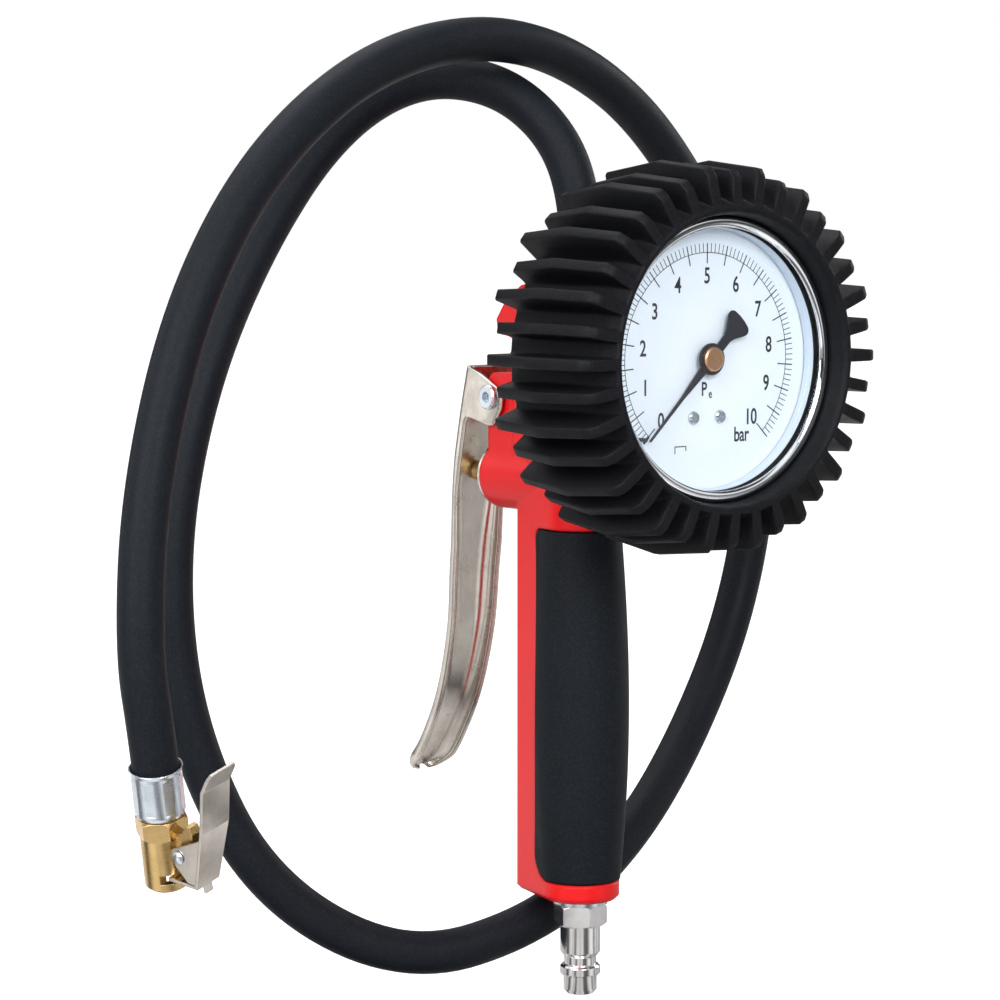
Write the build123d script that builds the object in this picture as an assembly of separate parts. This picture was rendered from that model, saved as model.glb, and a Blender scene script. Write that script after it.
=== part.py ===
"""Hand-held tyre inflator with a dial gauge, built as an assembly of separate pieces.

Frame: millimetres, +Z up along the handle. The origin is on the handle's axis, where the nose of
the air inlet plug meets its collar. The gauge faces -Y and the trigger lever is on the +Y side.
Each piece is written to parts/NODE.step.
"""

import os
from math import asin, atan2, cos, degrees, hypot, pi, radians, sin, tan

from build123d import *

# ---------------------------------------------------------------- fits
CONTACT = 0.02          # gap between pieces that are fixed to each other
RUNNING = 0.05          # radial clearance of a pin or shaft that turns or slides
FREE = 0.3              # gap between pieces that pass each other

# ---------------------------------------------------------------- air inlet plug (Euro 7.2 profile)
PLUG_BORE_R = 2.6
PLUG_NOSE_R = 4.95
PLUG_NOSE_LEN = 5.4
PLUG_COLLAR_R = 6.0
PLUG_COLLAR_LEN = 3.3
PLUG_NECK_R = 4.8
PLUG_NECK_LEN = 2.4
PLUG_BODY_R = 6.0
PLUG_BODY_TOP = 15.3
PLUG_HEX_AF = 14.0
PLUG_HEX_LEN = 6.6
PLUG_HEX_TURN = 12.5    # degrees, where the thread happens to tighten
WASHER_LEN = 1.5
WASHER_R = 8.2
THREAD_R = 6.4          # G1/4 thread, drawn plain
PLUG_THREAD_LEN = 9.0

# ---------------------------------------------------------------- handle and head casting
HANDLE_BOTTOM = PLUG_BODY_TOP + PLUG_HEX_LEN + WASHER_LEN
HANDLE_FRONT_R = 11.7   # palm side, about the handle's axis
HANDLE_BACK_Y = 23.0    # flat edge under the fingers
HANDLE_BACK_HALF = 7.0
HANDLE_CORNER_R = 2.5
HEAD_TOP = 207.0

GRIP_BOTTOM = 29.6
GRIP_TOP = 134.0
GRIP_BULGE_R = 14.4     # palm side at the fullest place of the rubber insert
GRIP_SEAT_DEPTH = 2.4
GRIP_EDGE_Y = 8.5       # how far back the insert's edge lies at its ends
GRIP_WAIST_Y = 4.8      # and at its middle
GRIP_LINE = 0.5         # open line round the insert
GRIP_TOP_CORNER = 2.6
GRIP_LOW_CORNER = 7.0

BARREL_Z = 148.0        # axis of the valve
BARREL_R = 10.3
BARREL_END_Y = 36.7
CHAMBER_R = 6.6
CHAMBER_FRONT_Y = -7.0
PASSAGE_R = 3.0

# ---------------------------------------------------------------- valve
CAP_FLANGE_R = 9.9
CAP_FLANGE_LEN = 2.0
CAP_THREAD_R = 8.0
CAP_THREAD_LEN = 10.0
STEM_R = 3.0
STEM_GAP = 0.3          # between the stem's tip and the lever at rest
STEM_ROD_R = 1.8
SEAT_Y = 8.0
SEAT_LEN = 2.0
SEAT_HOLE_R = 3.2
POPPET_R = 4.8
POPPET_LEN = 3.0
SPRING_WIRE_R = 0.45
SPRING_R = 3.6
SPRING_TURNS = 5

# ---------------------------------------------------------------- trigger lever (pressed channel)
PIVOT_Y = 32.4
PIVOT_Z = 172.0
PIVOT_R = 2.5
PIVOT_HEAD_R = 3.8
PIVOT_HEAD_LEN = 1.6
LEVER_SHEET = 1.5
LEVER_TOP_HALF = 9.4    # half of the width over the flanges
LEVER_TIP_HALF = 7.4
LUG_HALF = 7.5
# Back of the web, seen from the side, as (Y, Z) from the top to the tip.
LEVER_BACK = [(45.6, 181.0), (49.9, 164.0), (53.6, 145.0), (56.8, 120.0), (58.9, 100.0),
              (64.6, 80.5), (73.0, 65.2), (82.6, 53.4)]
FLANGE_TOP_DEPTH = 4.4
FLANGE_TIP_DEPTH = 3.0

# ---------------------------------------------------------------- gauge, nominal size 80
GAUGE_Z = 186.6
DIAL_Y = -56.2          # the dial's face; everything below is measured back from it
CASE_R = 39.0
CASE_WALL = 1.0
CASE_BACK = 30.0
CASE_RIM = -3.6
CASE_SCREW_X = 13.0
BEZEL_R = 40.0
BEZEL_FRONT = -7.6
BEZEL_OPENING_R = 36.8
WINDOW_R = 38.8
WINDOW_LEN = 2.0
GASKET_LEN = 0.8
DIAL_R = 37.6
DIAL_LEN = 0.8
COVER_R = 45.0          # rubber cover between its fins
COVER_FRONT = -13.4
COVER_BACK = 32.2
FIN_COUNT = 36
FIN_THICK = 3.2
FIN_REAR_R = 53.2
FIN_KINK_R = 56.2
FIN_KINK = 9.6
FIN_CORNER_R = 54.0
FIN_CORNER = -12.4
SHORT_FIN_DROP = 1.4
SHORT_FIN_BACK = 2.0

# ---------------------------------------------------------------- gauge movement
GEAR_MODULE = 0.4
PINION_TEETH = 10
SECTOR_TEETH = 90       # of a full circle
SECTOR_TRAVEL_DEG = 30.0
GEAR_BACKLASH = 0.12
SECTOR_PIVOT_DEG = -60.0
ARBOR_R = 1.2
PLATE_LEN = 1.0
FRONT_PLATE = 2.0
BACK_PLATE = 9.0
TUBE_R = 27.0           # middle of the Bourdon tube
TUBE_HALF_THICK = 1.3
TUBE_FRONT = 14.0
TUBE_LEN = 8.0
TAIL_R = 6.0
TAIL_DEG = 23.5         # from the line of centres; square to the link at half travel
POINTER_LEN = 31.4
POINTER_TAIL = 15.8
POINTER_ZERO_DEG = 225.0
POINTER_FACE = -2.4
POINTER_THICK = 0.5
POINTER_HUB_R = 4.5
POINTER_CAP_R = 3.45

# ---------------------------------------------------------------- hose
HOSE_R = 6.4
HOSE_BORE_R = 4.0
HOSE_START_Z = HEAD_TOP + 5.0
HOSE_ROUTE = [
    (0, 0, HOSE_START_Z), (0, 0, HOSE_START_Z + 18), (-3, 8, 251), (-14, 23, 266), (-33, 39, 268),
    (-56, 49, 252), (-84, 48, 217), (-107, 44, 175), (-118, 42, 126), (-112, 41, 77),
    (-90, 35, 31), (-48, 23, 5), (-2, 18, 12), (39, 27, 30), (75, 40, 57), (103, 47, 97),
    (113, 47, 145), (102, 43, 193), (72, 34, 235), (31, 22, 266), (-17, 13, 280),
    (-66, 7, 272), (-108, 1, 245), (-138, -5, 205), (-155, -10, 156), (-160, -14, 113),
]                       # the last two points are on the chuck's axis and follow from it

# ---------------------------------------------------------------- clip-on tyre chuck
CHUCK_MOUTH = (-145.85, -4.7, 47.4)
CHUCK_TURN = (11.5, -12.8, 17.0)   # degrees about the chuck's own X, Y and Z
CHUCK_R = 6.25
CHUCK_BODY_LEN = 15.4
CHUCK_HEX_AF = 12.6
CHUCK_HEX_LEN = 5.6
CHUCK_MOUTH_R = 4.1     # takes a tyre valve, 7.7 across its thread
CHUCK_MOUTH_LEN = 7.0
CHUCK_BORE_R = 1.6
FERRULE_LEN = 14.4
FERRULE_R = 6.9
FERRULE_FLARE = 0.5
CLIP_PIN_OUT = 9.1      # pivot's distance from the chuck's axis
CLIP_PIN_UP = 12.3      # and from its mouth
CLIP_PIN_R = 1.1
CLIP_HALF = 4.2         # half of the width over the cheeks
CLIP_TAB_HALF = 5.4     # and of the thumb tab above them
CLIP_SHEET = 0.9
CLIP_LUG_HALF = 1.7
CLIP_WIRE_R = 0.3
CLIP_WIRE_TURNS = 1.2
JAW_LOW = 4.0           # height of the jaw over the mouth
JAW_SLOT_Y = -2.6       # how deep the jaw's slot is milled into the body

PIECES = {}


# ================================================================ helpers
def turned(outline, origin=(0, 0, 0), axis=(0, 0, 1)):
    """A turned piece: a closed (radius, height) outline spun about its axis."""
    face = make_face(Polyline([(r, 0, h) for r, h in outline], close=True))
    return Plane(origin=origin, z_dir=axis).location * revolve(face, Axis.Z)


def rod(radius, low, high, origin=(0, 0, 0), axis=(0, 0, 1)):
    """A plain cylinder between two heights along an axis."""
    return turned([(0, low), (radius, low), (radius, high), (0, high)], origin, axis)


def ring(inner, outer, low, high, origin=(0, 0, 0), axis=(0, 0, 1)):
    """A plain tube between two heights along an axis."""
    return turned([(inner, low), (outer, low), (outer, high), (inner, high)], origin, axis)


def hexagon(across_flats, low, high, bore=0.0):
    """A hexagonal nut's body on the Z axis, its corners chamfered, with an optional bore."""
    prism = Pos(0, 0, low) * extrude(
        RegularPolygon(across_flats / 2, 6, major_radius=False), high - low)
    corner, slope = across_flats / 2 / cos(pi / 6), 0.25
    edge = corner - across_flats / 2
    drop = edge * tan(radians(30)) + slope
    outline = [(bore, low), (corner - edge, low), (corner + 0.1, low + drop),
               (corner + 0.1, high - drop), (corner - edge, high), (bore, high)]
    return prism & turned(outline)


def side_plate(points, half_width, x=0.0):
    """A plate with a (Y, Z) outline, spread evenly to both sides of X = x."""
    face = make_face(Polyline([(x - half_width, y, z) for y, z in points], close=True))
    return extrude(face, 2 * half_width, dir=(1, 0, 0))


def polar(radius, angle):
    """A point on a circle, from its angle in degrees."""
    return radius * cos(radians(angle)), radius * sin(radians(angle))


def on_gauge(outline, x=0.0, z=0.0):
    """A turned piece on an axis through the dial, heights measured back from the dial's face."""
    return turned(outline, (x, DIAL_Y, GAUGE_Z + z), (0, 1, 0))


def gauge_rod(radius, front, back, x=0.0, z=0.0):
    """A cylinder on an axis through the dial, heights measured back from the dial's face."""
    return on_gauge([(0, front), (radius, front), (radius, back), (0, back)], x, z)


def gauge_plate(points, front, back):
    """A flat piece parallel to the dial, from an (X, Z) outline about the dial's centre."""
    face = make_face(Polyline([(x, DIAL_Y + front, GAUGE_Z + z) for x, z in points], close=True))
    return extrude(face, back - front, dir=(0, 1, 0))


def on_chuck(solid):
    """Moves a piece from the chuck's own frame, whose Z rises from its mouth, to its place."""
    return Location(CHUCK_MOUTH, CHUCK_TURN) * solid


def coil(radius, wire, low, high, turns):
    """A round-wire spring on the Z axis."""
    path = Pos(0, 0, low + wire) * Helix((high - low - 2 * wire) / turns, high - low - 2 * wire,
                                         radius)
    start = Plane(origin=path @ 0, z_dir=path % 0)
    return sweep(start * Circle(wire), path)


# ================================================================ inlet plug
def inlet():
    """The air inlet plug with its washer and filter."""
    neck_low = PLUG_COLLAR_LEN
    neck_high = neck_low + PLUG_NECK_LEN
    hex_top = PLUG_BODY_TOP + PLUG_HEX_LEN
    round_nose = PLUG_NOSE_R - 1.0
    plug = turned([
        (PLUG_BORE_R, -PLUG_NOSE_LEN), (round_nose, -PLUG_NOSE_LEN),
        (PLUG_NOSE_R, 1.0 - PLUG_NOSE_LEN), (PLUG_NOSE_R, 0), (PLUG_COLLAR_R - 0.6, 0),
        (PLUG_COLLAR_R, 0.6), (PLUG_COLLAR_R, neck_low - 0.6), (PLUG_COLLAR_R - 0.6, neck_low),
        (PLUG_NECK_R, neck_low), (PLUG_NECK_R, neck_high), (PLUG_BODY_R, neck_high + 1.5),
        (PLUG_BODY_R, PLUG_BODY_TOP), (PLUG_BORE_R, PLUG_BODY_TOP)])
    plug += hexagon(PLUG_HEX_AF, PLUG_BODY_TOP, hex_top, PLUG_BORE_R).rotate(Axis.Z, PLUG_HEX_TURN)
    plug += ring(PLUG_BORE_R, THREAD_R - CONTACT, hex_top, HANDLE_BOTTOM + PLUG_THREAD_LEN)
    PIECES["inlet_plug"] = plug
    PIECES["inlet_washer"] = ring(THREAD_R, WASHER_R, hex_top, HANDLE_BOTTOM)
    filter_low = HANDLE_BOTTOM + PLUG_THREAD_LEN
    PIECES["inlet_filter"] = turned([
        (0, filter_low + 9.0), (0, filter_low + 10.0), (3.2, filter_low + 10.0),
        (THREAD_R - CONTACT - 1.0, filter_low), (THREAD_R - CONTACT - 2.0, filter_low),
        (2.4, filter_low + 9.0)])


# ================================================================ casting and grip
def handle_section(front_r, inset=0.0):
    """Plan of the handle: a round palm side whose flat sides close in to a narrow back edge."""
    front = front_r - inset
    half = HANDLE_BACK_HALF - inset
    back = HANDLE_BACK_Y - inset
    tangent = atan2(back, half) - (pi / 2 - asin(front / hypot(half, back)))
    x, y = front * cos(tangent), front * sin(tangent)
    lines = [
        ThreePointArc((x, y), (0, -front), (-x, y)),
        Line((-x, y), (-half, back)),
        Line((-half, back), (half, back)),
        Line((half, back), (x, y)),
    ]
    face = make_face(lines)
    corners = face.vertices().group_by(Axis.Y)[-1]
    return fillet(corners, HANDLE_CORNER_R)


def grip_region(line):
    """Side outline of the rubber insert, spread right through the handle, grown by a line."""
    middle = (GRIP_BOTTOM + GRIP_TOP) / 2
    front = -GRIP_BULGE_R - 3
    low, high, edge_y = GRIP_BOTTOM - line, GRIP_TOP + line, GRIP_EDGE_Y + line
    corner, top, on_arc = GRIP_LOW_CORNER, GRIP_TOP_CORNER, 1 - cos(pi / 4)
    edge = [
        Line((front, low), (GRIP_EDGE_Y - corner, low)),
        ThreePointArc((GRIP_EDGE_Y - corner, low),
                      (GRIP_EDGE_Y - corner * 0.3 + line * 0.7, low + corner * 0.3),
                      (edge_y, low + corner)),
        ThreePointArc((edge_y, low + corner), (GRIP_WAIST_Y + line, middle), (edge_y, high - top)),
        ThreePointArc((edge_y, high - top), (edge_y - on_arc * top, high - on_arc * top),
                      (edge_y - top, high)),
        Line((edge_y - top, high), (front, high)),
        Line((front, high), (front, low)),
    ]
    wide = 2 * GRIP_BULGE_R
    side = Plane(origin=(-wide, 0, 0), x_dir=(0, 1, 0), z_dir=(1, 0, 0))
    return extrude(side * make_face(edge), 2 * wide, dir=(1, 0, 0))


def grip():
    """The soft rubber insert on the palm side, fullest at its middle."""
    heights = [GRIP_BOTTOM, GRIP_BOTTOM + 24, (GRIP_BOTTOM + GRIP_TOP) / 2, GRIP_TOP - 24, GRIP_TOP]
    rise = GRIP_BULGE_R - HANDLE_FRONT_R
    fullness = [0.1, 0.75, 1.0, 0.7, 0.1]
    sections = [Pos(0, 0, z) * handle_section(HANDLE_FRONT_R + rise * f)
                for z, f in zip(heights, fullness)]
    outer = loft(sections)
    seat = extrude(Pos(0, 0, GRIP_BOTTOM) * handle_section(
        HANDLE_FRONT_R, GRIP_SEAT_DEPTH - 2 * CONTACT), GRIP_TOP - GRIP_BOTTOM)
    PIECES["grip_insert"] = (outer & grip_region(0.0)) - seat


def casting():
    """Handle and head in one: grip seat, valve barrel, lever lug, gauge boss and hose boss."""
    handle = extrude(Pos(0, 0, HANDLE_BOTTOM) * handle_section(HANDLE_FRONT_R),
                     HEAD_TOP - HANDLE_BOTTOM)
    handle = chamfer(handle.faces().sort_by(Axis.Z)[0].edges(), 1.2)
    above_lever = [(10, BARREL_Z), (HANDLE_BACK_Y, BARREL_Z), (HANDLE_BACK_Y, PIVOT_Z + 14)]
    crown = [(20, -18), (30.4, -15), (31.0, -11.5), (27, -6.5), (19, -1.2), (12, 0), (10, 0)]
    above_lever += [(y, HEAD_TOP + z) for y, z in crown]
    cut = [(12, 1), (12, 0), (19, -1.2), (24, -4.4), (24, 1)]
    handle -= side_plate([(y, HEAD_TOP + z) for y, z in cut], 15)
    lug = [(15, BARREL_Z + 2), (BARREL_END_Y - 0.9, BARREL_Z + 2), (BARREL_END_Y - 0.9, PIVOT_Z - 6)]
    lug += [(PIVOT_Y + 4.6 * cos(radians(a)), PIVOT_Z + 7.4 * sin(radians(a)))
            for a in range(-20, 100, 20)]
    lug += [(15, PIVOT_Z + 7.4)]
    body = handle + side_plate(above_lever, 8.0) + side_plate(lug, LUG_HALF)
    body += rod(BARREL_R, 0, BARREL_END_Y, (0, 0, BARREL_Z), (0, 1, 0))
    boss_front = DIAL_Y + COVER_BACK + 1.3
    body += rod(13.5, boss_front, 0, (0, 0, GAUGE_Z), (0, 1, 0))
    body += turned([(0, HEAD_TOP - 8), (13.5, HEAD_TOP - 8), (12.6, HEAD_TOP + 1.6),
                    (11.6, HEAD_TOP + 2.6), (0, HEAD_TOP + 2.6)])
    # grip seat
    seat = extrude(Pos(0, 0, HANDLE_BOTTOM) * handle_section(HANDLE_FRONT_R, GRIP_SEAT_DEPTH),
                   HEAD_TOP - HANDLE_BOTTOM)
    body -= grip_region(GRIP_LINE) - seat
    # air ways: inlet bore, riser to the chamber, chamber, outlet riser, gauge port, hose port
    body -= rod(THREAD_R, HANDLE_BOTTOM - 1, HANDLE_BOTTOM + PLUG_THREAD_LEN + 11)
    body -= rod(PASSAGE_R, HANDLE_BOTTOM + PLUG_THREAD_LEN, BARREL_Z)
    barrel = (0, 0, BARREL_Z)
    body -= rod(CHAMBER_R, CHAMBER_FRONT_Y, BARREL_END_Y - CAP_THREAD_LEN + 1, barrel, (0, 1, 0))
    body -= rod(CAP_THREAD_R, BARREL_END_Y - CAP_THREAD_LEN, BARREL_END_Y + 1, barrel, (0, 1, 0))
    outlet_y = SEAT_Y + SEAT_LEN + PASSAGE_R + 1.5
    body -= rod(PASSAGE_R, BARREL_Z, GAUGE_Z, (0, outlet_y, 0))
    body -= rod(PASSAGE_R, -THREAD_R, outlet_y, (0, 0, GAUGE_Z), (0, 1, 0))
    body -= rod(THREAD_R, boss_front - 1, -9.5, (0, 0, GAUGE_Z), (0, 1, 0))
    body -= rod(PASSAGE_R, -10, 0, (0, 0, GAUGE_Z), (0, 1, 0))
    body -= rod(PASSAGE_R, GAUGE_Z, HEAD_TOP)
    body -= rod(THREAD_R, HEAD_TOP - 8, HEAD_TOP + 4)
    body -= rod(PIVOT_R + RUNNING, -20, 20, (0, PIVOT_Y, PIVOT_Z), (1, 0, 0))
    PIECES["body_casting"] = body


# ================================================================ valve
def valve():
    """Spring-loaded stem valve in the barrel; squeezing the lever pushes the stem towards -Y."""
    at, along = (0, 0, BARREL_Z), (0, 1, 0)
    inner = BARREL_END_Y - CAP_THREAD_LEN
    cap = turned([
        (STEM_R + RUNNING, inner), (CAP_THREAD_R - CONTACT, inner),
        (CAP_THREAD_R - CONTACT, BARREL_END_Y), (CAP_FLANGE_R, BARREL_END_Y),
        (CAP_FLANGE_R, BARREL_END_Y + CAP_FLANGE_LEN - 0.5),
        (CAP_FLANGE_R - 0.5, BARREL_END_Y + CAP_FLANGE_LEN),
        (STEM_R + RUNNING, BARREL_END_Y + CAP_FLANGE_LEN)], at, along)
    groove_low = inner + 1.5
    groove = ring(STEM_R, STEM_R + 1.6, groove_low, groove_low + 2.0, at, along)
    PIECES["valve_cap"] = cap - groove
    PIECES["stem_seal"] = ring(STEM_R + RUNNING, STEM_R + 1.5, groove_low + 0.1, groove_low + 1.9,
                               at, along)
    seat_back = SEAT_Y + SEAT_LEN
    PIECES["valve_seat"] = turned([
        (SEAT_HOLE_R, SEAT_Y), (SEAT_HOLE_R + 0.6, SEAT_Y), (SEAT_HOLE_R + 1.0, SEAT_Y + 0.4),
        (CHAMBER_R - CONTACT, SEAT_Y + 0.4), (CHAMBER_R - CONTACT, seat_back),
        (SEAT_HOLE_R, seat_back)], at, along)
    tip_y = lever_back_y(BARREL_Z) - LEVER_SHEET - STEM_GAP
    poppet_back = SEAT_Y - 0.05
    poppet_front = poppet_back - POPPET_LEN
    dome = 0.8
    PIECES["valve_stem"] = turned([
        (0, poppet_front - 2.5), (STEM_ROD_R, poppet_front - 2.5), (STEM_ROD_R, inner - 6.0),
        (STEM_R, inner - 4.5), (STEM_R, tip_y - dome), (STEM_R - 0.9, tip_y - 0.15),
        (0, tip_y)], at, along)
    PIECES["valve_poppet"] = ring(STEM_ROD_R, POPPET_R, poppet_front, poppet_back, at, along)
    spring = coil(SPRING_R, SPRING_WIRE_R, 0, poppet_front - 0.05 - CHAMBER_FRONT_Y, SPRING_TURNS)
    PIECES["valve_spring"] = Plane(origin=(0, CHAMBER_FRONT_Y, BARREL_Z),
                                   z_dir=(0, 1, 0)).location * spring


# ================================================================ trigger lever
def lever_back_y(z):
    """Y of the lever's back at a height, straight between the points that shape it."""
    for (y_above, z_above), (y_below, z_below) in zip(LEVER_BACK, LEVER_BACK[1:]):
        if z_below <= z <= z_above:
            return y_below + (y_above - y_below) * (z - z_below) / (z_above - z_below)
    return LEVER_BACK[0][0]


def lever_front(depth_top, depth_tip):
    """The web's back moved forwards by a depth that changes evenly from the top to the tip."""
    last = len(LEVER_BACK) - 1
    points = []
    for i, (y, z) in enumerate(LEVER_BACK):
        before = LEVER_BACK[max(i - 1, 0)]
        after = LEVER_BACK[min(i + 1, last)]
        run = hypot(after[0] - before[0], after[1] - before[1])
        depth = depth_top + (depth_tip - depth_top) * i / last
        normal = (after[1] - before[1]) / run, -(after[0] - before[0]) / run
        points.append((y + normal[0] * depth, z + normal[1] * depth))
    return points


def lever_sheet(front):
    """A solid between the web's back and a curve in front of it, seen from the side."""
    top, low = LEVER_BACK[0], LEVER_BACK[-1]
    side = Plane(origin=(-20, 0, 0), x_dir=(0, 1, 0), z_dir=(1, 0, 0))
    lines = [Spline(*LEVER_BACK), Line(low, front[-1]), Spline(*front[::-1]), Line(front[0], top)]
    return extrude(side * make_face(lines), 40, dir=(1, 0, 0))


def lever_outline(inset):
    """Plan of the lever from behind: straight to below the barrel, then closing in to the tip."""
    top, tip = LEVER_TOP_HALF - inset, LEVER_TIP_HALF - inset
    tip_z, corner = LEVER_BACK[-1][1] - 8, 5.0
    low = LEVER_BACK[-1][1] + 1.0
    points = [(-top, 190), (top, 190), (top, 140), (tip, low + corner), (tip - corner / 2, low),
              (corner - tip + corner / -2, low), (-tip, low + corner), (-top, 140)]
    if inset:
        points = [(-top, 190), (top, 190), (top, 140), (tip, tip_z), (-tip, tip_z), (-top, 140)]
    face = make_face(Polyline([(x, 20, z) for x, z in points], close=True))
    return extrude(face, 80, dir=(0, 1, 0))


def lever():
    """Pressed steel lever: a web with two flanges that become the pivot's ears, and its screw."""
    channel = lever_sheet(lever_front(FLANGE_TOP_DEPTH, FLANGE_TIP_DEPTH)) & lever_outline(0.0)
    channel -= lever_hollow()
    about_pivot = [(12.2, 8.8), (4.9, 7.6), (-3.8, 4.8), (-6.2, 2.6), (-5.4, -0.8), (-2.8, -4.5),
                   (-0.9, -7.2), (11.2, -5.5), (14.0, -5.5)]
    ear = [(PIVOT_Y + y, PIVOT_Z + z) for y, z in about_pivot]
    for side in (-1, 1):
        x = side * (LEVER_TOP_HALF - LEVER_SHEET / 2)
        channel += side_plate(ear, LEVER_SHEET / 2, x)
    across = (0, PIVOT_Y, PIVOT_Z), (1, 0, 0)
    channel -= rod(PIVOT_R + RUNNING, -20, 20, *across)
    PIECES["trigger_lever"] = channel
    head = LEVER_TOP_HALF + 0.1
    end = head + PIVOT_HEAD_LEN
    screw = turned([
        (0, -end), (PIVOT_HEAD_R - 0.5, -end), (PIVOT_HEAD_R, 0.5 - end), (PIVOT_HEAD_R, -head),
        (PIVOT_R, -head), (PIVOT_R, head + 3.2), (0, head + 3.2)], *across)
    socket = Plane(origin=(-end, PIVOT_Y, PIVOT_Z), z_dir=(1, 0, 0)).location * extrude(
        RegularPolygon(1.5, 6, major_radius=False), 1.4)
    PIECES["pivot_screw"] = screw - socket
    nut = Plane(origin=(0, PIVOT_Y, PIVOT_Z), z_dir=(1, 0, 0)).location * hexagon(
        8.0, head, head + 3.0, PIVOT_R + CONTACT)
    PIECES["pivot_nut"] = nut


def lever_hollow():
    """The space inside the channel, from the web's inner face forwards."""
    inner = lever_front(LEVER_SHEET, LEVER_SHEET)
    far = [(y - 40, z) for y, z in inner]
    side = Plane(origin=(-20, 0, 0), x_dir=(0, 1, 0), z_dir=(1, 0, 0))
    lines = [Spline(*inner), Line(inner[-1], far[-1]), Spline(*far[::-1]), Line(far[0], inner[0])]
    return extrude(side * make_face(lines), 40, dir=(1, 0, 0)) & lever_outline(LEVER_SHEET)


# ================================================================ gauge
def gauge_housing():
    """Case, bezel, window, gasket, dial and the finned rubber cover."""
    case_in = CASE_R - CASE_WALL
    case = on_gauge([
        (case_in, CASE_RIM), (CASE_R, CASE_RIM), (CASE_R, CASE_BACK - 1.5),
        (CASE_R - 1.5, CASE_BACK), (THREAD_R + CONTACT, CASE_BACK),
        (THREAD_R + CONTACT, CASE_BACK - CASE_WALL), (case_in - 1, CASE_BACK - CASE_WALL),
        (case_in, CASE_BACK - CASE_WALL - 1), (case_in, DIAL_LEN + 1.0),
        (DIAL_R - 1.6, DIAL_LEN + 1.0), (DIAL_R - 1.6, DIAL_LEN), (case_in, DIAL_LEN)])
    for x in (-CASE_SCREW_X, CASE_SCREW_X):
        case -= gauge_rod(1.25, CASE_BACK - 3, CASE_BACK + 1, x, 0)
    PIECES["gauge_case"] = case
    window_back = CASE_RIM - GASKET_LEN
    window_front = window_back - WINDOW_LEN
    PIECES["window_gasket"] = on_gauge([
        (BEZEL_OPENING_R, window_back), (WINDOW_R, window_back), (WINDOW_R, CASE_RIM),
        (BEZEL_OPENING_R, CASE_RIM)])
    dome = 0.9
    bowl = [(BEZEL_OPENING_R * k / 6, window_front - dome * (1 - (k / 6) ** 2)) for k in range(7)]
    PIECES["gauge_window"] = on_gauge(
        [(0, window_back)] + bowl + [(WINDOW_R, window_front), (WINDOW_R, window_back)])
    PIECES["bezel_ring"] = on_gauge([
        (BEZEL_OPENING_R, window_front - CONTACT), (BEZEL_OPENING_R, window_front - 0.5),
        (BEZEL_OPENING_R + 0.7, BEZEL_FRONT), (BEZEL_R - 0.8, BEZEL_FRONT),
        (BEZEL_R, BEZEL_FRONT + 0.8), (BEZEL_R, 3.0), (CASE_R + CONTACT, 3.0),
        (CASE_R + CONTACT, window_front - CONTACT)])
    screw_x, screw_z = 4.9, -16.4
    dial = on_gauge([(2.4, 0), (DIAL_R, 0), (DIAL_R, DIAL_LEN), (2.4, DIAL_LEN)])
    screws = []
    for x in (-screw_x, screw_x):
        dial -= gauge_rod(1.05, -1, 2, x, screw_z)
        head = on_gauge([(0, -1.0), (1.5, -1.0), (1.9, -0.5), (1.9, -CONTACT), (1.0, -CONTACT),
                         (1.0, FRONT_PLATE + PLATE_LEN), (0, FRONT_PLATE + PLATE_LEN)], x, screw_z)
        slot = Pos(x, DIAL_Y - 1.0, GAUGE_Z + screw_z) * Box(4.2, 0.9, 0.5)
        screws.append(head - slot)
    PIECES["dial_plate"] = dial
    PIECES["dial_screws"] = Compound(screws)
    pin_x, pin_z = polar(32.6, POINTER_ZERO_DEG - 3.4)
    PIECES["stop_pin"] = gauge_rod(0.55, -3.0, -CONTACT, pin_x, pin_z)


def fin(short):
    """One fin of the cover at 3 o'clock, its outline in (radius, distance behind the dial)."""
    drop = SHORT_FIN_DROP if short else 0.0
    back = SHORT_FIN_BACK if short else 0.0
    root = COVER_R - 1.5
    rear = COVER_BACK - back
    outline = [
        (root, rear), (FIN_REAR_R - drop, rear), (FIN_KINK_R - drop, FIN_KINK),
        (FIN_CORNER_R - drop, FIN_CORNER + 1.6), (FIN_CORNER_R - drop - 1.8, FIN_CORNER),
        (root - 0.5, COVER_FRONT + 0.5), (root - 0.5, COVER_FRONT + 2.5), (root, -5.0)]
    face = make_face(Polyline([(r, DIAL_Y + y, GAUGE_Z - FIN_THICK / 2) for r, y in outline],
                              close=True))
    return extrude(face, FIN_THICK, dir=(0, 0, 1))


def cover():
    """The rubber cover: a sleeve with a front lip, a back lip and a ring of fins."""
    over_bezel = BEZEL_R + FREE / 2
    over_case = CASE_R + 0.2
    sleeve = on_gauge([
        (over_bezel, 3.4), (over_bezel, BEZEL_FRONT - 0.6), (over_bezel + 0.4, COVER_FRONT + 0.6),
        (over_bezel + 1.2, COVER_FRONT), (COVER_R - 2.4, COVER_FRONT + 0.4),
        (COVER_R - 2.0, COVER_FRONT + 2.4), (COVER_R - 0.6, COVER_FRONT + 5.0),
        (COVER_R, COVER_FRONT + 8.0), (COVER_R, COVER_BACK - 1.2), (COVER_R - 1.0, COVER_BACK),
        (CASE_R - 5, COVER_BACK), (CASE_R - 5, CASE_BACK + 0.2), (over_case, CASE_BACK + 0.2),
        (over_case, 3.4)])
    centre = Axis((0, DIAL_Y, GAUGE_Z), (0, 1, 0))
    for i in range(FIN_COUNT):
        sleeve += fin(i % 2 == 1).rotate(centre, i * 360 / FIN_COUNT)
    PIECES["gauge_cover"] = sleeve


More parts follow.
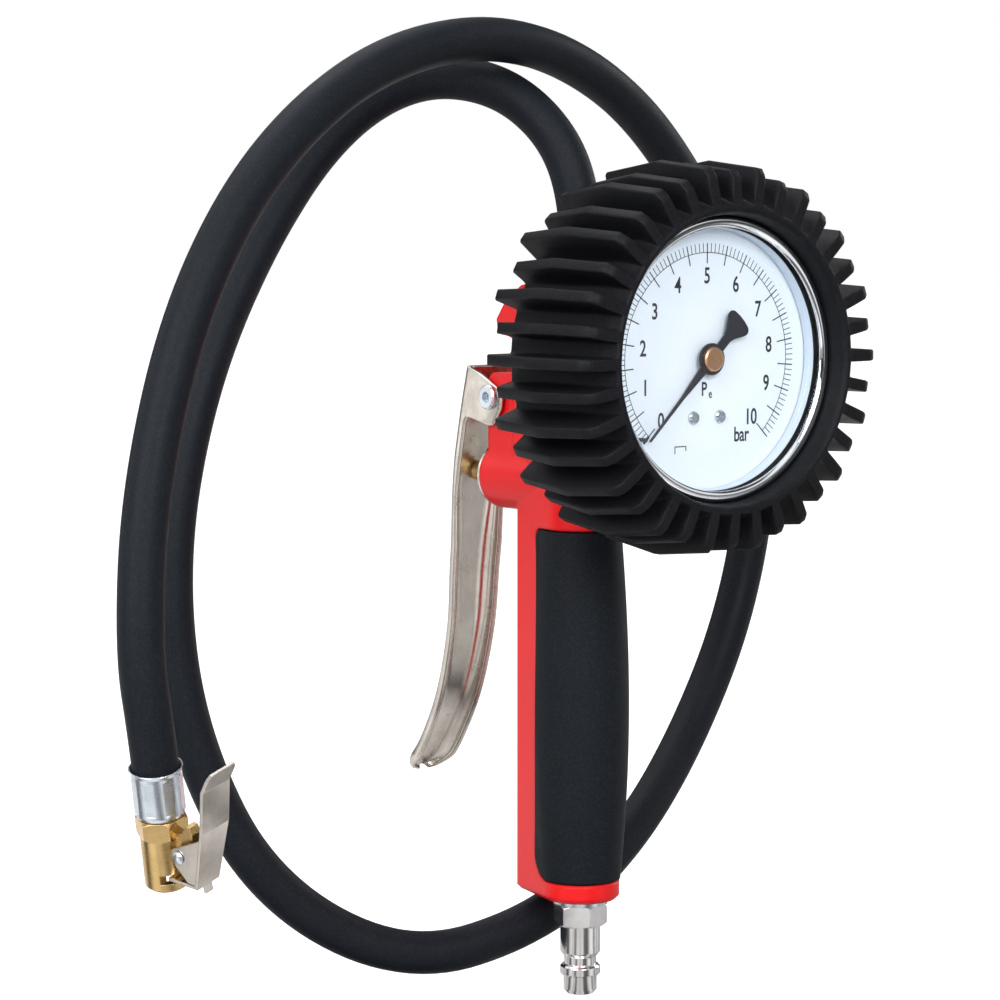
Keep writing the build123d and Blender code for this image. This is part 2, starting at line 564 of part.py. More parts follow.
def gear_outline(teeth_at, pitch_r, pitch_deg, root_r, tip_r):
    """Straight-flanked teeth at the given angles: points from the first root to the last."""
    points = []
    for angle in teeth_at:
        for r, share in ((root_r, -0.31), (tip_r, -0.12), (tip_r, 0.12), (root_r, 0.31)):
            points.append(polar(r, angle + share * pitch_deg))
    return points


def movement():
    """Bourdon tube, socket, plates, sector gear, pinion with the pointer, link and hairspring."""
    pinion_r = GEAR_MODULE * PINION_TEETH / 2
    sector_r = GEAR_MODULE * SECTOR_TEETH / 2
    centre_gap = pinion_r + sector_r + GEAR_BACKLASH
    px, pz = polar(centre_gap, SECTOR_PIVOT_DEG)
    toward_pinion = SECTOR_PIVOT_DEG + 180
    shaft_hole = ARBOR_R + RUNNING

    # plates and pillars
    plate = [(-15, -24), (12.6, -24), (13.2, -13), (19, -9), (9, 9), (-9, 9), (-15, 0)]
    pillar_at = [(-10, -19), (14.5, -5.5), (-7.5, 5)]
    front_plate = gauge_plate(plate, FRONT_PLATE, FRONT_PLATE + PLATE_LEN)
    back_plate = gauge_plate(plate, BACK_PLATE, BACK_PLATE + PLATE_LEN)
    for x in (-4.9, 4.9):
        boss = on_gauge([(1.0 + CONTACT, DIAL_LEN), (2.2, DIAL_LEN), (2.2, FRONT_PLATE),
                         (1.0 + CONTACT, FRONT_PLATE)], x, -16.4)
        front_plate -= gauge_rod(1.0 + CONTACT, FRONT_PLATE - 1, FRONT_PLATE + 2, x, -16.4)
        front_plate += boss
    for x, z in ((0, 0), (px, pz)):
        front_plate -= gauge_rod(shaft_hole, 0, 5, x, z)
        back_plate -= gauge_rod(shaft_hole, 8, 12, x, z)
    PIECES["movement_front_plate"] = front_plate
    PIECES["movement_back_plate"] = back_plate
    PIECES["movement_pillars"] = Compound([
        gauge_rod(1.5, FRONT_PLATE + PLATE_LEN, BACK_PLATE, x, z) for x, z in pillar_at])

    # sector gear: teeth, web, hub, tail arm and tail pin
    pitch = 360 / SECTOR_TEETH
    first = toward_pinion - round((SECTOR_TRAVEL_DEG + 8) / pitch) * pitch
    teeth_at = [first + i * pitch for i in range(round((SECTOR_TRAVEL_DEG + 16) / pitch) + 1)]
    teeth = gear_outline(teeth_at, sector_r, pitch, sector_r - 1.1 * GEAR_MODULE,
                         sector_r + 0.8 * GEAR_MODULE)
    web = [(0, 0), polar(sector_r - 2.2, teeth_at[0] - 1.8)] + teeth
    web += [polar(sector_r - 2.2, teeth_at[-1] + 1.8)]
    sector = gauge_plate([(px + x, pz + z) for x, z in web], 5.2, 6.4)
    sector += gauge_rod(3.0, 3.4, 8.6, px, pz) + gauge_rod(ARBOR_R, 2.2, 9.8, px, pz)
    tail_deg = SECTOR_PIVOT_DEG + TAIL_DEG
    tx, tz = polar(TAIL_R, tail_deg)
    arm = [polar(1.6, tail_deg + 90), polar(1.6, tail_deg - 90),
           (tx + polar(1.6, tail_deg - 90)[0], tz + polar(1.6, tail_deg - 90)[1]),
           (tx + polar(1.6, tail_deg + 90)[0], tz + polar(1.6, tail_deg + 90)[1])]
    sector += gauge_plate([(px + x, pz + z) for x, z in arm], 6.4, 7.4)
    tail_pin = (px + tx, pz + tz)
    sector += gauge_rod(0.7, 7.4, BACK_PLATE + PLATE_LEN + 3.0, *tail_pin)
    PIECES["sector_gear"] = sector

    # pinion on the pointer's arbor; a gap between two of its teeth faces the sector's middle tooth
    step = 360 / PINION_TEETH
    at = [SECTOR_PIVOT_DEG + step / 2 + i * step for i in range(PINION_TEETH)]
    outline = gear_outline(at, pinion_r, step, pinion_r - 0.9 * GEAR_MODULE,
                           pinion_r + 0.8 * GEAR_MODULE)
    PIECES["pointer_arbor"] = gauge_plate(outline, 4.2, 7.6) + gauge_rod(ARBOR_R, -3.0, 9.8)

    # pointer and its cap
    zero = POINTER_ZERO_DEG
    tail = [(-8.0, 1.4), (-9.6, 2.0), (-12.6, 4.0), (-13.4, 4.4), (-14.2, 4.5), (-14.9, 4.2)]
    far_edge = [polar(POINTER_TAIL, 180 - a) for a in (13, 9, 4.5, 0, -4.5, -9, -13)]
    blade = [(POINTER_LEN, -0.25), (POINTER_LEN, 0.25), (15, 0.5), (4.0, 1.3)] + tail + far_edge
    blade += [(u, -v) for u, v in reversed(tail)] + [(4.0, -1.3), (15, -0.5)]
    turn = radians(zero)
    blade = [(u * cos(turn) - v * sin(turn), u * sin(turn) + v * cos(turn)) for u, v in blade]
    pointer = gauge_plate(blade, POINTER_FACE, POINTER_FACE + POINTER_THICK)
    pointer += gauge_rod(POINTER_HUB_R, POINTER_FACE - 0.1, POINTER_FACE + POINTER_THICK)
    pointer -= gauge_rod(ARBOR_R + CONTACT, -6, 0)
    PIECES["pointer"] = pointer
    PIECES["pointer_cap"] = on_gauge([
        (0, -3.7), (POINTER_CAP_R - 0.5, -3.7), (POINTER_CAP_R, -3.3),
        (POINTER_CAP_R, POINTER_FACE - 0.1), (ARBOR_R + CONTACT, POINTER_FACE - 0.1),
        (ARBOR_R + CONTACT, -3.05), (0, -3.05)])

    # socket with the gauge's stem, and the Bourdon tube in its slot
    block = gauge_plate([(-8, -31), (6, -31), (6, 8), (-8, 8)], BACK_PLATE + PLATE_LEN, 28.0)
    block += gauge_rod(CASE_SCREW_X + 3, 28.0, CASE_BACK - CASE_WALL - CONTACT)
    stem_end = 45.6
    block += gauge_rod(THREAD_R - CONTACT, CASE_BACK - CASE_WALL - CONTACT, stem_end)
    nut = Plane(origin=(0, DIAL_Y, GAUGE_Z), z_dir=(0, 1, 0)).location * hexagon(
        17.0, CASE_BACK + CONTACT, CASE_BACK + 3.2, THREAD_R)
    PIECES["stem_nut"] = nut
    block -= gauge_rod(2.0, 20, stem_end + 1)
    block -= gauge_rod(1.6, BACK_PLATE, BACK_PLATE + 4, 0, 0)
    block -= gauge_rod(1.6, BACK_PLATE, BACK_PLATE + 4, px, pz)
    case_screws = []
    for x in (-CASE_SCREW_X, CASE_SCREW_X):
        block -= gauge_rod(1.0 + CONTACT, 27, 31, x, 0)
        case_screws.append(on_gauge([
            (0, 27.2), (1.0, 27.2), (1.0, CASE_BACK + CONTACT), (1.9, CASE_BACK + CONTACT),
            (1.9, CASE_BACK + 0.9), (1.4, CASE_BACK + 1.3), (0, CASE_BACK + 1.3)], x, 0))
    PIECES["case_screws"] = Compound(case_screws)
    start, end = -90.0, -350.0
    outer = TUBE_R + TUBE_HALF_THICK
    inner = TUBE_R - TUBE_HALF_THICK
    steps = 40
    angles = [start - 6 + (end - start + 6) * i / steps for i in range(steps + 1)]
    outline = [polar(outer, a) for a in angles] + [polar(inner, a) for a in reversed(angles)]
    tube = gauge_plate(outline, TUBE_FRONT, TUBE_FRONT + TUBE_LEN)
    PIECES["bourdon_tube"] = tube
    PIECES["gauge_socket"] = block - tube
    tip = polar(TUBE_R, end)
    tip_piece = gauge_plate([
        polar(outer + 0.6, end), polar(inner - 3.4, end), polar(inner - 3.4, end - 12),
        polar(outer + 0.6, end - 12)], TUBE_FRONT + 0.5, TUBE_FRONT + TUBE_LEN - 0.5)
    stud = polar(inner - 1.6, end - 6)
    tip_piece += gauge_rod(0.7, TUBE_FRONT - 3.5, TUBE_FRONT + 0.5, *stud)
    PIECES["tube_end"] = tip_piece

    # link between the tail pin and the stud, slotted at the stud
    run = hypot(stud[0] - tail_pin[0], stud[1] - tail_pin[1])
    lean = atan2(stud[1] - tail_pin[1], stud[0] - tail_pin[0])

    def along(u, v):
        return (tail_pin[0] + u * cos(lean) - v * sin(lean),
                tail_pin[1] + u * sin(lean) + v * cos(lean))
    link_front, link_back = BACK_PLATE + PLATE_LEN + 1.2, BACK_PLATE + PLATE_LEN + 2.2
    link = gauge_plate([along(-1.8, -1.6), along(run + 2.2, -1.9), along(run + 2.2, 1.9),
                        along(-1.8, 1.6)], link_front, link_back)
    link -= gauge_rod(0.7 + RUNNING, link_front - 1, link_back + 1, *tail_pin)
    slot = gauge_plate([along(run - 4.4, -1.05), along(run + 1.1, -1.05), along(run + 1.1, 1.05),
                        along(run - 4.4, 1.05)], link_front - 1, link_back + 1)
    PIECES["tube_link"] = link - slot

    # hairspring round the arbor
    turns, inner_r, outer_r, half = 4.0, 2.2, 6.6, 0.12
    count = 96
    spiral = [(inner_r + (outer_r - inner_r) * i / count, 360 * turns * i / count)
              for i in range(count + 1)]
    outline = [polar(r + half, a) for r, a in spiral]
    outline += [polar(r - half, a) for r, a in reversed(spiral)]
    PIECES["hairspring"] = gauge_plate(outline, 8.0, 8.6)


# ================================================================ hose
def chuck_point(x, y, z):
    """A point given in the chuck's own frame."""
    place = (Location(CHUCK_MOUTH, CHUCK_TURN) * Pos(x, y, z)).position
    return place.X, place.Y, place.Z


def hose():
    """The hose, with its end fittings on the head."""
    ferrule_low = CHUCK_BODY_LEN + CHUCK_HEX_LEN
    end_up = ferrule_low + 1.5
    route = HOSE_ROUTE + [chuck_point(0, 0, end_up + 21), chuck_point(0, 0, end_up)]
    points = [Vector(*p) for p in route]
    radii = []
    for before, here, after in zip(points, points[1:], points[2:]):
        turn = (here - before).get_angle(after - here)
        shorter = min((here - before).length, (after - here).length)
        radii.append(0.45 * shorter / tan(radians(turn / 2)))
    print("hose arcs, radii in mm:", " ".join(f"{r:.0f}" for r in radii))
    path = FilletPolyline(*points, radius=radii)
    section = Circle(HOSE_R) - Circle(HOSE_BORE_R)
    tube = sweep(Plane(origin=path @ 0, z_dir=path % 0) * section, path)
    area = pi * (HOSE_R ** 2 - HOSE_BORE_R ** 2)
    print(f"hose length {path.length:.0f} mm, volume over section times length "
          f"{tube.volume / area / path.length:.4f}")
    PIECES["hose"] = tube

    boss_top = HEAD_TOP + 2.6
    hex_top = boss_top + 2.2
    bore = 2.5
    nipple = ring(bore, THREAD_R - CONTACT, HEAD_TOP - 7, boss_top)
    nipple += hexagon(17.0, boss_top, hex_top, bore)
    barb = [(bore, hex_top)]
    barb_r = HOSE_BORE_R - CONTACT
    barb += [(barb_r, hex_top)]
    for i in range(3):
        z = hex_top + 2.5 + 3.0 * i
        barb += [(barb_r, z), (barb_r - 0.5, z + 0.2)]
    barb += [(barb_r - 0.5, hex_top + 10.5), (bore, hex_top + 10.5)]
    PIECES["hose_nipple"] = nipple + turned(barb)
    PIECES["head_ferrule"] = turned([
        (HOSE_R + CONTACT, hex_top + CONTACT), (FERRULE_R + 0.3, hex_top + CONTACT),
        (FERRULE_R + 0.3, hex_top + 8.6), (FERRULE_R + FERRULE_FLARE, hex_top + 9.6),
        (FERRULE_R + FERRULE_FLARE - 0.4, hex_top + 9.9), (HOSE_R + CONTACT, hex_top + 8.8)])


# ================================================================ tyre chuck
def chuck():
    """The clip-on chuck: ferrule, brass body with hexagon and lug, seal, depressor, sprung clip."""
    hex_top = CHUCK_BODY_LEN + CHUCK_HEX_LEN
    bore = CHUCK_BORE_R
    body = turned([
        (CHUCK_MOUTH_R, 0), (CHUCK_R - 0.9, 0), (CHUCK_R, 0.9), (CHUCK_R, CHUCK_BODY_LEN),
        (bore, CHUCK_BODY_LEN), (bore, CHUCK_MOUTH_LEN + 2.2), (CHUCK_MOUTH_R + 0.8,
                                                               CHUCK_MOUTH_LEN + 2.2),
        (CHUCK_MOUTH_R + 0.8, CHUCK_MOUTH_LEN), (CHUCK_MOUTH_R, CHUCK_MOUTH_LEN)])
    body += hexagon(CHUCK_HEX_AF, CHUCK_BODY_LEN, hex_top, bore)
    out, up = -CLIP_PIN_OUT, CLIP_PIN_UP
    inside = 0.95 - CHUCK_R
    lug = [(inside, up - 4.2), (out - 0.6, up - 3.6), (out - 2.6, up - 1.6), (out - 3.3, up + 1.8),
           (out - 3.3, up + 6.2), (out - 2.6, up + 8.2), (out - 1.2, up + 8.4),
           (out + 0.4, up + 6.0), (inside, up + 4.6)]
    body += side_plate(lug, CLIP_LUG_HALF)
    body -= rod(bore, 6, hex_top + 1)
    pin_at = (0, -CLIP_PIN_OUT, CLIP_PIN_UP)
    body -= rod(CLIP_PIN_R + CONTACT, -9, 9, pin_at, (1, 0, 0))
    jaw_high = JAW_LOW + CLIP_SHEET
    slot_low, slot_high = JAW_LOW - 1.2, jaw_high + 0.6
    slot_depth = CHUCK_R + 1 + JAW_SLOT_Y
    body -= Pos(0, JAW_SLOT_Y - slot_depth / 2, (slot_low + slot_high) / 2) * Box(
        2 * CHUCK_R + 2, slot_depth, slot_high - slot_low)
    tail = [(bore, hex_top), (HOSE_BORE_R - CONTACT, hex_top)]
    for i in range(3):
        z = hex_top + 3.5 + 2.6 * i
        tail += [(HOSE_BORE_R - CONTACT, z), (HOSE_BORE_R - 0.5, z + 0.2)]
    tail += [(HOSE_BORE_R - 0.5, hex_top + 11.0), (bore, hex_top + 11.0)]
    body += turned(tail)
    PIECES["chuck_body"] = on_chuck(body)
    seat = CHUCK_MOUTH_LEN + FREE
    PIECES["chuck_seal"] = on_chuck(ring(2.2, CHUCK_MOUTH_R + 0.8 - CONTACT, seat,
                                         CHUCK_MOUTH_LEN + 2.2 - CONTACT))
    PIECES["valve_depressor"] = on_chuck(turned([
        (0, seat), (0.8, seat), (1.0, seat + 0.3), (1.0, seat + 2.6), (bore - CONTACT, seat + 2.6),
        (bore - CONTACT, seat + 3.8), (0, seat + 3.8)]))

    low, high = hex_top + CONTACT, hex_top + FERRULE_LEN
    wall = HOSE_R + CONTACT
    ferrule = turned([
        (HOSE_BORE_R + 0.2, low), (FERRULE_R - 1.2, low), (FERRULE_R - 0.4, low + 0.5),
        (FERRULE_R, low + 1.5),
        (FERRULE_R, high - 1.2), (FERRULE_R + FERRULE_FLARE, high - 0.2),
        (FERRULE_R + FERRULE_FLARE - 0.3, high), (wall, high - 0.8), (wall, low + 1.4),
        (HOSE_BORE_R + 0.2, low + 1.4)])
    for i in range(8):
        flat = Pos(FERRULE_R + 0.85, 0, (low + high) / 2) * Box(2.0, 3.4, FERRULE_LEN - 4.6)
        ferrule -= flat.rotate(Axis.Z, i * 45 + 22.5)
    PIECES["chuck_ferrule"] = on_chuck(ferrule)

    # the clip: two cheeks, a web that widens into the thumb tab, and a jaw below
    t = CLIP_SHEET
    half = CLIP_HALF
    web_low, kink, bend, tip = (-14.85, JAW_LOW), (-19.6, 22.0), (-21.5, 34.8), (-24.7, 40.6)
    profile = [web_low, kink, bend, tip]
    clip = side_plate(profile + [(y + t, z + 0.2) for y, z in reversed(profile)], CLIP_TAB_HALF)
    narrow = [(-half, 0), (half, 0), (CLIP_TAB_HALF, kink[1]), (CLIP_TAB_HALF, tip[1] - 1.5),
              (CLIP_TAB_HALF - 1.5, tip[1] + 1), (1.5 - CLIP_TAB_HALF, tip[1] + 1),
              (-CLIP_TAB_HALF, tip[1] - 1.5), (-CLIP_TAB_HALF, kink[1])]
    clip &= extrude(make_face(Polyline([(x, -30, z) for x, z in narrow], close=True)), 30,
                    dir=(0, 1, 0))
    cheek = [(-6.4, up + 0.3), (-6.9, up + 1.9), (-8.2, up + 2.5), (-15.6, up + 6.1),
             (-18.0, up + 7.6), (-18.2, up + 6.4), (-14.4, 5.0), (-11.5, 5.2), (-7.6, up - 3.1)]
    for side in (-1, 1):
        clip += side_plate(cheek, t / 2, side * (half - t / 2))
    jaw_tip = -CHUCK_MOUTH_R - 0.35
    clip += side_plate([web_low, (jaw_tip, JAW_LOW), (jaw_tip, jaw_high), (-14.4, jaw_high)],
                       half)
    clip += side_plate([web_low, (-14.0, JAW_LOW), (-14.4, JAW_LOW - 2.2),
                        (-15.2, JAW_LOW - 2.2)], 1.4)
    clip -= rod(CLIP_PIN_R + RUNNING, -9, 9, pin_at, (1, 0, 0))
    PIECES["clip_lever"] = on_chuck(clip)
    pin_end = half + 0.15
    pin = turned([
        (0, -pin_end - 1.0), (1.2, -pin_end - 0.8), (1.8, -pin_end - 0.3), (1.8, -pin_end),
        (CLIP_PIN_R, -pin_end), (CLIP_PIN_R, pin_end), (1.8, pin_end), (1.8, pin_end + 0.3),
        (1.2, pin_end + 0.8), (0, pin_end + 1.0)], pin_at, (1, 0, 0))
    PIECES["clip_pin"] = on_chuck(pin)
    gap_low, gap_high = CLIP_LUG_HALF + 0.1, half - t - 0.1
    windings = coil(CLIP_PIN_R + 0.1 + CLIP_WIRE_R, CLIP_WIRE_R, gap_low, gap_high,
                    CLIP_WIRE_TURNS)
    springs = []
    for side in (-1, 1):
        springs.append(Plane(origin=pin_at, z_dir=(side, 0, 0)).location * windings)
    PIECES["clip_spring"] = on_chuck(Compound(springs))


def build():
    """Makes every piece and writes one STEP file for each."""
    inlet()
    grip()
    casting()
    valve()
    lever()
    gauge_housing()
    cover()
    movement()
    hose()
    chuck()
    os.makedirs("parts", exist_ok=True)
    for name, piece in PIECES.items():
        export_step(piece, f"parts/{name}.step")


build()
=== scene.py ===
"""Looks of a hand-held tyre inflator with a dial gauge, laid out as a Blender add-on.

Everything is in metres, in the CAD model's own frame: +Z up along the handle, the gauge faces -Y
and the squeeze lever is on the +Y side.
"""

from math import cos, pi, radians, sin

import bmesh
import bpy
import numpy as np
from bpy.props import FloatProperty, FloatVectorProperty, IntProperty, PointerProperty
from mathutils import Matrix, Vector


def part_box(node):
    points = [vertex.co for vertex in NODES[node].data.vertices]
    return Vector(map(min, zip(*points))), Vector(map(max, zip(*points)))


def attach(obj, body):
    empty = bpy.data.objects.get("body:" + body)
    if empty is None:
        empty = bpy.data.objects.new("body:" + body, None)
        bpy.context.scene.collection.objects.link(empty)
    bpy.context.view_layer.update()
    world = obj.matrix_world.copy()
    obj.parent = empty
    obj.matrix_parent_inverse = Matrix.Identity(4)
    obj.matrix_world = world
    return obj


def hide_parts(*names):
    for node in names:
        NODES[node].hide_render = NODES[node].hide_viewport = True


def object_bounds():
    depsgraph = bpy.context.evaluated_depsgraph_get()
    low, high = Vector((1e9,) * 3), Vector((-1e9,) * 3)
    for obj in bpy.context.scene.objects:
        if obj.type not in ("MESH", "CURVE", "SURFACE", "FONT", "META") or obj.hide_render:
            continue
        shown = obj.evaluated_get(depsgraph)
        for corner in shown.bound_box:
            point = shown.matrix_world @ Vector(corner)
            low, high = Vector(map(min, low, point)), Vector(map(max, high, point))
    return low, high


bl_info = {
    "name": "Tyre Inflator",
    "version": (1, 0, 0),
    "blender": (4, 5, 0),
    "location": "View3D > Sidebar > Inflator",
    "description": "Builds the looks of a tyre inflator with gauge round its CAD frame",
    "category": "Object",
}

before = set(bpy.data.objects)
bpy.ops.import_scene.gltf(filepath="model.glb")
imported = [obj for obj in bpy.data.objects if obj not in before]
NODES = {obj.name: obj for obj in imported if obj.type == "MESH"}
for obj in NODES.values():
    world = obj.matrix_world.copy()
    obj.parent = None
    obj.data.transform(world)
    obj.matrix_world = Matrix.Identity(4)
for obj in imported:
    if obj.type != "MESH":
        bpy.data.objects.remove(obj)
CAD_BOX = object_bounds()

# Places that follow from the frame
_dial_low, _dial_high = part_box("dial_plate")
DIAL_CENTRE = (_dial_low + _dial_high) / 2
DIAL_FACE_Y = _dial_low.y

# The scale's sweep in degrees from +X, and the heights between which its ink stands
SCALE_START, SCALE_END = 225.0, -45.0
INK_LOW, INK_HIGH = 0.00002, 0.00005
TEXT_PER_CAPITAL = 1.37  # size of the type over the height of its capitals
LETTER_WIDTH = 0.76      # width of its letters over the typeface's own

# Control points of the hose's centreline
HOSE_ROUTE = [
    (0, 0, 0.212), (0, 0, 0.230), (-0.003, 0.008, 0.251), (-0.014, 0.023, 0.266),
    (-0.033, 0.039, 0.268), (-0.056, 0.049, 0.252), (-0.084, 0.048, 0.217),
    (-0.107, 0.044, 0.175), (-0.118, 0.042, 0.126), (-0.112, 0.041, 0.077),
    (-0.090, 0.035, 0.031), (-0.048, 0.023, 0.005), (-0.002, 0.018, 0.012),
    (0.039, 0.027, 0.030), (0.075, 0.040, 0.057), (0.103, 0.047, 0.097),
    (0.113, 0.047, 0.145), (0.102, 0.043, 0.193), (0.072, 0.034, 0.235),
    (0.031, 0.022, 0.266), (-0.017, 0.013, 0.280), (-0.066, 0.007, 0.272),
    (-0.108, 0.001, 0.245), (-0.138, -0.005, 0.205), (-0.155, -0.010, 0.156),
    (-0.160, -0.014, 0.113), (-0.1555, -0.0132, 0.0890), (-0.1508, -0.0091, 0.0689),
]

# The stage: the camera's place, the floor, the room's shade as (height, shade), how noise turns
# into lit and dark parts of the room, and the lamps as (name, place, width, height, power)
CAMERA_PLACE = (-0.5845, -0.7322, 0.2293)
FLOOR_GAP, FLOOR_REACH = 0.0005, 6
ROOM_SHADES = [(0.0, 0.22), (0.42, 0.42), (0.50, 0.10), (0.62, 0.50), (1.0, 0.75)]
ROOM_GAPS = {"From Min": 0.42, "From Max": 0.60, "To Min": 0.12, "To Max": 1.7}
LAMP_TARGET = (0, 0, 0.13)
LAMPS = [
    ("key", (-1.15, -0.35, 0.70), 0.8, 1.1, 16.0),
    ("front", (-0.45, -1.40, 0.75), 0.7, 0.7, 17.0),
    ("right", (1.3, 0.10, 0.40), 0.30, 1.2, 5.0),
    ("top", (-0.1, 0.3, 1.3), 0.8, 0.8, 7.0),
    ("back_left", (-0.8, 1.0, 0.3), 0.6, 1.2, 2.2),
]

# The lever's back, from its top to its tip, as (y, z), and its front edges as
# (distance down the back, depth): the pivot's ears first, then the shallow flanges.
LEVER_BACK = [(0.0456, 0.181), (0.0499, 0.164), (0.0536, 0.145), (0.0568, 0.120),
              (0.0589, 0.100), (0.0646, 0.0805), (0.073, 0.0652), (0.0826, 0.0534)]
LEVER_FRONT = [(0.0, 0.0020), (0.0002, 0.0084), (0.0018, 0.0174), (0.0036, 0.0204),
               (0.0071, 0.0208), (0.0111, 0.0194), (0.0136, 0.0182), (0.0142, 0.0170),
               (0.0146, 0.0062), (0.0152, 0.0052), (0.0168, 0.0046), (0.060, 0.0044),
               (0.145, 0.0034)]
LEVER_EAR_TOP, LEVER_EAR_LOW, LEVER_NECK = 0.0036, 0.0136, 0.0170  # distances down the back
LEVER_STRAIGHT = 0.041   # where the sides start to close in
LEVER_TIP_ROUND = 0.008  # length of the rounded tip
LEVER_TIP_DROP = 0.0046  # how far the sides come in along it
LEVER_TIP_FINE = 0.006   # length with closer rows at the very end

SLEEVE_RADIUS = 45.0  # of the rubber cover between its fins, in mm


# ---------------------------------------------------------------- settings
class HoseSettings(bpy.types.PropertyGroup):
    """Sizes and colour of the hose."""
    diameter: FloatProperty(name="Diameter", description="Outside diameter of the hose",
                            default=0.0128, unit="LENGTH")
    colour: FloatVectorProperty(name="Rubber", description="Colour of the hose's cover",
                                default=(0.0048, 0.0062, 0.0088), size=3, subtype="COLOR")


class LeverSettings(bpy.types.PropertyGroup):
    """Sizes of the pressed squeeze lever."""
    top_width: FloatProperty(name="Top width", description="Width over the pivot's ears",
                             default=0.0188, unit="LENGTH")
    tip_width: FloatProperty(name="Tip width", description="Width near the lever's tip",
                             default=0.0148, unit="LENGTH")
    sheet: FloatProperty(name="Sheet", description="Thickness of the pressed sheet",
                         default=0.0015, unit="LENGTH")
    bend: FloatProperty(name="Bend radius", description="Outside radius of the corners at the top",
                        default=0.0026, unit="LENGTH")
    low_bend: FloatProperty(name="Lower bend radius", description="The same along the finger rest",
                            default=0.0048, unit="LENGTH")


class CoverSettings(bpy.types.PropertyGroup):
    """Sizes and colour of the finned rubber cover."""
    fins: IntProperty(name="Fins", description="Number of fins round the gauge", default=36)
    fin_thickness: FloatProperty(name="Fin thickness", description="Thickness of one fin",
                                 default=0.0032, unit="LENGTH")
    edge: FloatProperty(name="Edge radius", description="Rounding of the moulded edges",
                        default=0.0005, unit="LENGTH")
    colour: FloatVectorProperty(name="Rubber", description="Colour of the moulded rubber",
                                default=(0.0040, 0.0042, 0.0055), size=3, subtype="COLOR")


class GaugeSettings(bpy.types.PropertyGroup):
    """Sizes and colours of the gauge's face."""
    scale_end: IntProperty(name="Scale end", description="Highest pressure on the dial, in bar",
                           default=10)
    outer_line: FloatProperty(name="Scale radius", description="Radius where the ticks end",
                              default=0.03237, unit="LENGTH")
    inner_line: FloatProperty(name="Inner line", description="Radius of the scale's inner line",
                              default=0.02973, unit="LENGTH")
    long_tick: FloatProperty(name="Long tick", description="Radius where long ticks start",
                             default=0.0267, unit="LENGTH")
    numeral_radius: FloatProperty(name="Numeral radius", description="Radius of the numerals",
                                  default=0.0235, unit="LENGTH")
    numeral_height: FloatProperty(name="Numeral height", description="Height of the numerals",
                                  default=0.0046, unit="LENGTH")
    dial_colour: FloatVectorProperty(name="Dial", description="Colour of the dial's enamel",
                                     default=(0.74, 0.82, 0.91), size=3, subtype="COLOR")


class FinishSettings(bpy.types.PropertyGroup):
    """Colours of the castings and metals."""
    red: FloatVectorProperty(name="Enamel", description="Colour of the red enamel",
                             default=(0.70, 0.012, 0.014), size=3, subtype="COLOR")
    grip: FloatVectorProperty(name="Grip", description="Colour of the grip's soft rubber",
                              default=(0.0045, 0.0060, 0.0082), size=3, subtype="COLOR")
    nickel: FloatVectorProperty(name="Nickel", description="Colour of the nickel plating",
                                default=(0.70, 0.645, 0.575), size=3, subtype="COLOR")
    zinc: FloatVectorProperty(name="Zinc", description="Colour of the zinc plating",
                              default=(0.70, 0.76, 0.82), size=3, subtype="COLOR")
    brass: FloatVectorProperty(name="Brass", description="Colour of the turned brass",
                               default=(0.66, 0.46, 0.20), size=3, subtype="COLOR")


class StageSettings(bpy.types.PropertyGroup):
    """The floor, the lights and the view."""
    focal_length: FloatProperty(name="Focal length", description="Lens of the camera, in mm",
                                default=114.496)
    heading: FloatProperty(name="Heading", description="Direction of view from +Y towards +X",
                           default=radians(37.13), subtype="ANGLE")
    pitch: FloatProperty(name="Pitch", description="Downward tilt of the view",
                         default=radians(5.283), subtype="ANGLE")
    floor_colour: FloatVectorProperty(name="Floor", description="Colour of the floor",
                                      default=(0.93, 0.93, 0.93), size=3, subtype="COLOR")


# ---------------------------------------------------------------- shader helpers
class Wire:
    """One output of a shader node. Arithmetic on it adds Math nodes."""

    def __init__(self, finish, socket):
        self.finish = finish
        self.socket = socket

    def _math(self, operation, first, second):
        return self.finish.node("ShaderNodeMath", {"operation": operation}, {0: first, 1: second})

    def __add__(self, other):
        return self._math("ADD", self, other)

    def __radd__(self, other):
        return self._math("ADD", other, self)

    def __sub__(self, other):
        return self._math("SUBTRACT", self, other)

    def __rsub__(self, other):
        return self._math("SUBTRACT", other, self)

    def __mul__(self, other):
        return self._math("MULTIPLY", self, other)

    def __rmul__(self, other):
        return self._math("MULTIPLY", other, self)

    def __pow__(self, other):
        return self._math("POWER", self, other)

    def __rpow__(self, other):
        return self._math("POWER", other, self)


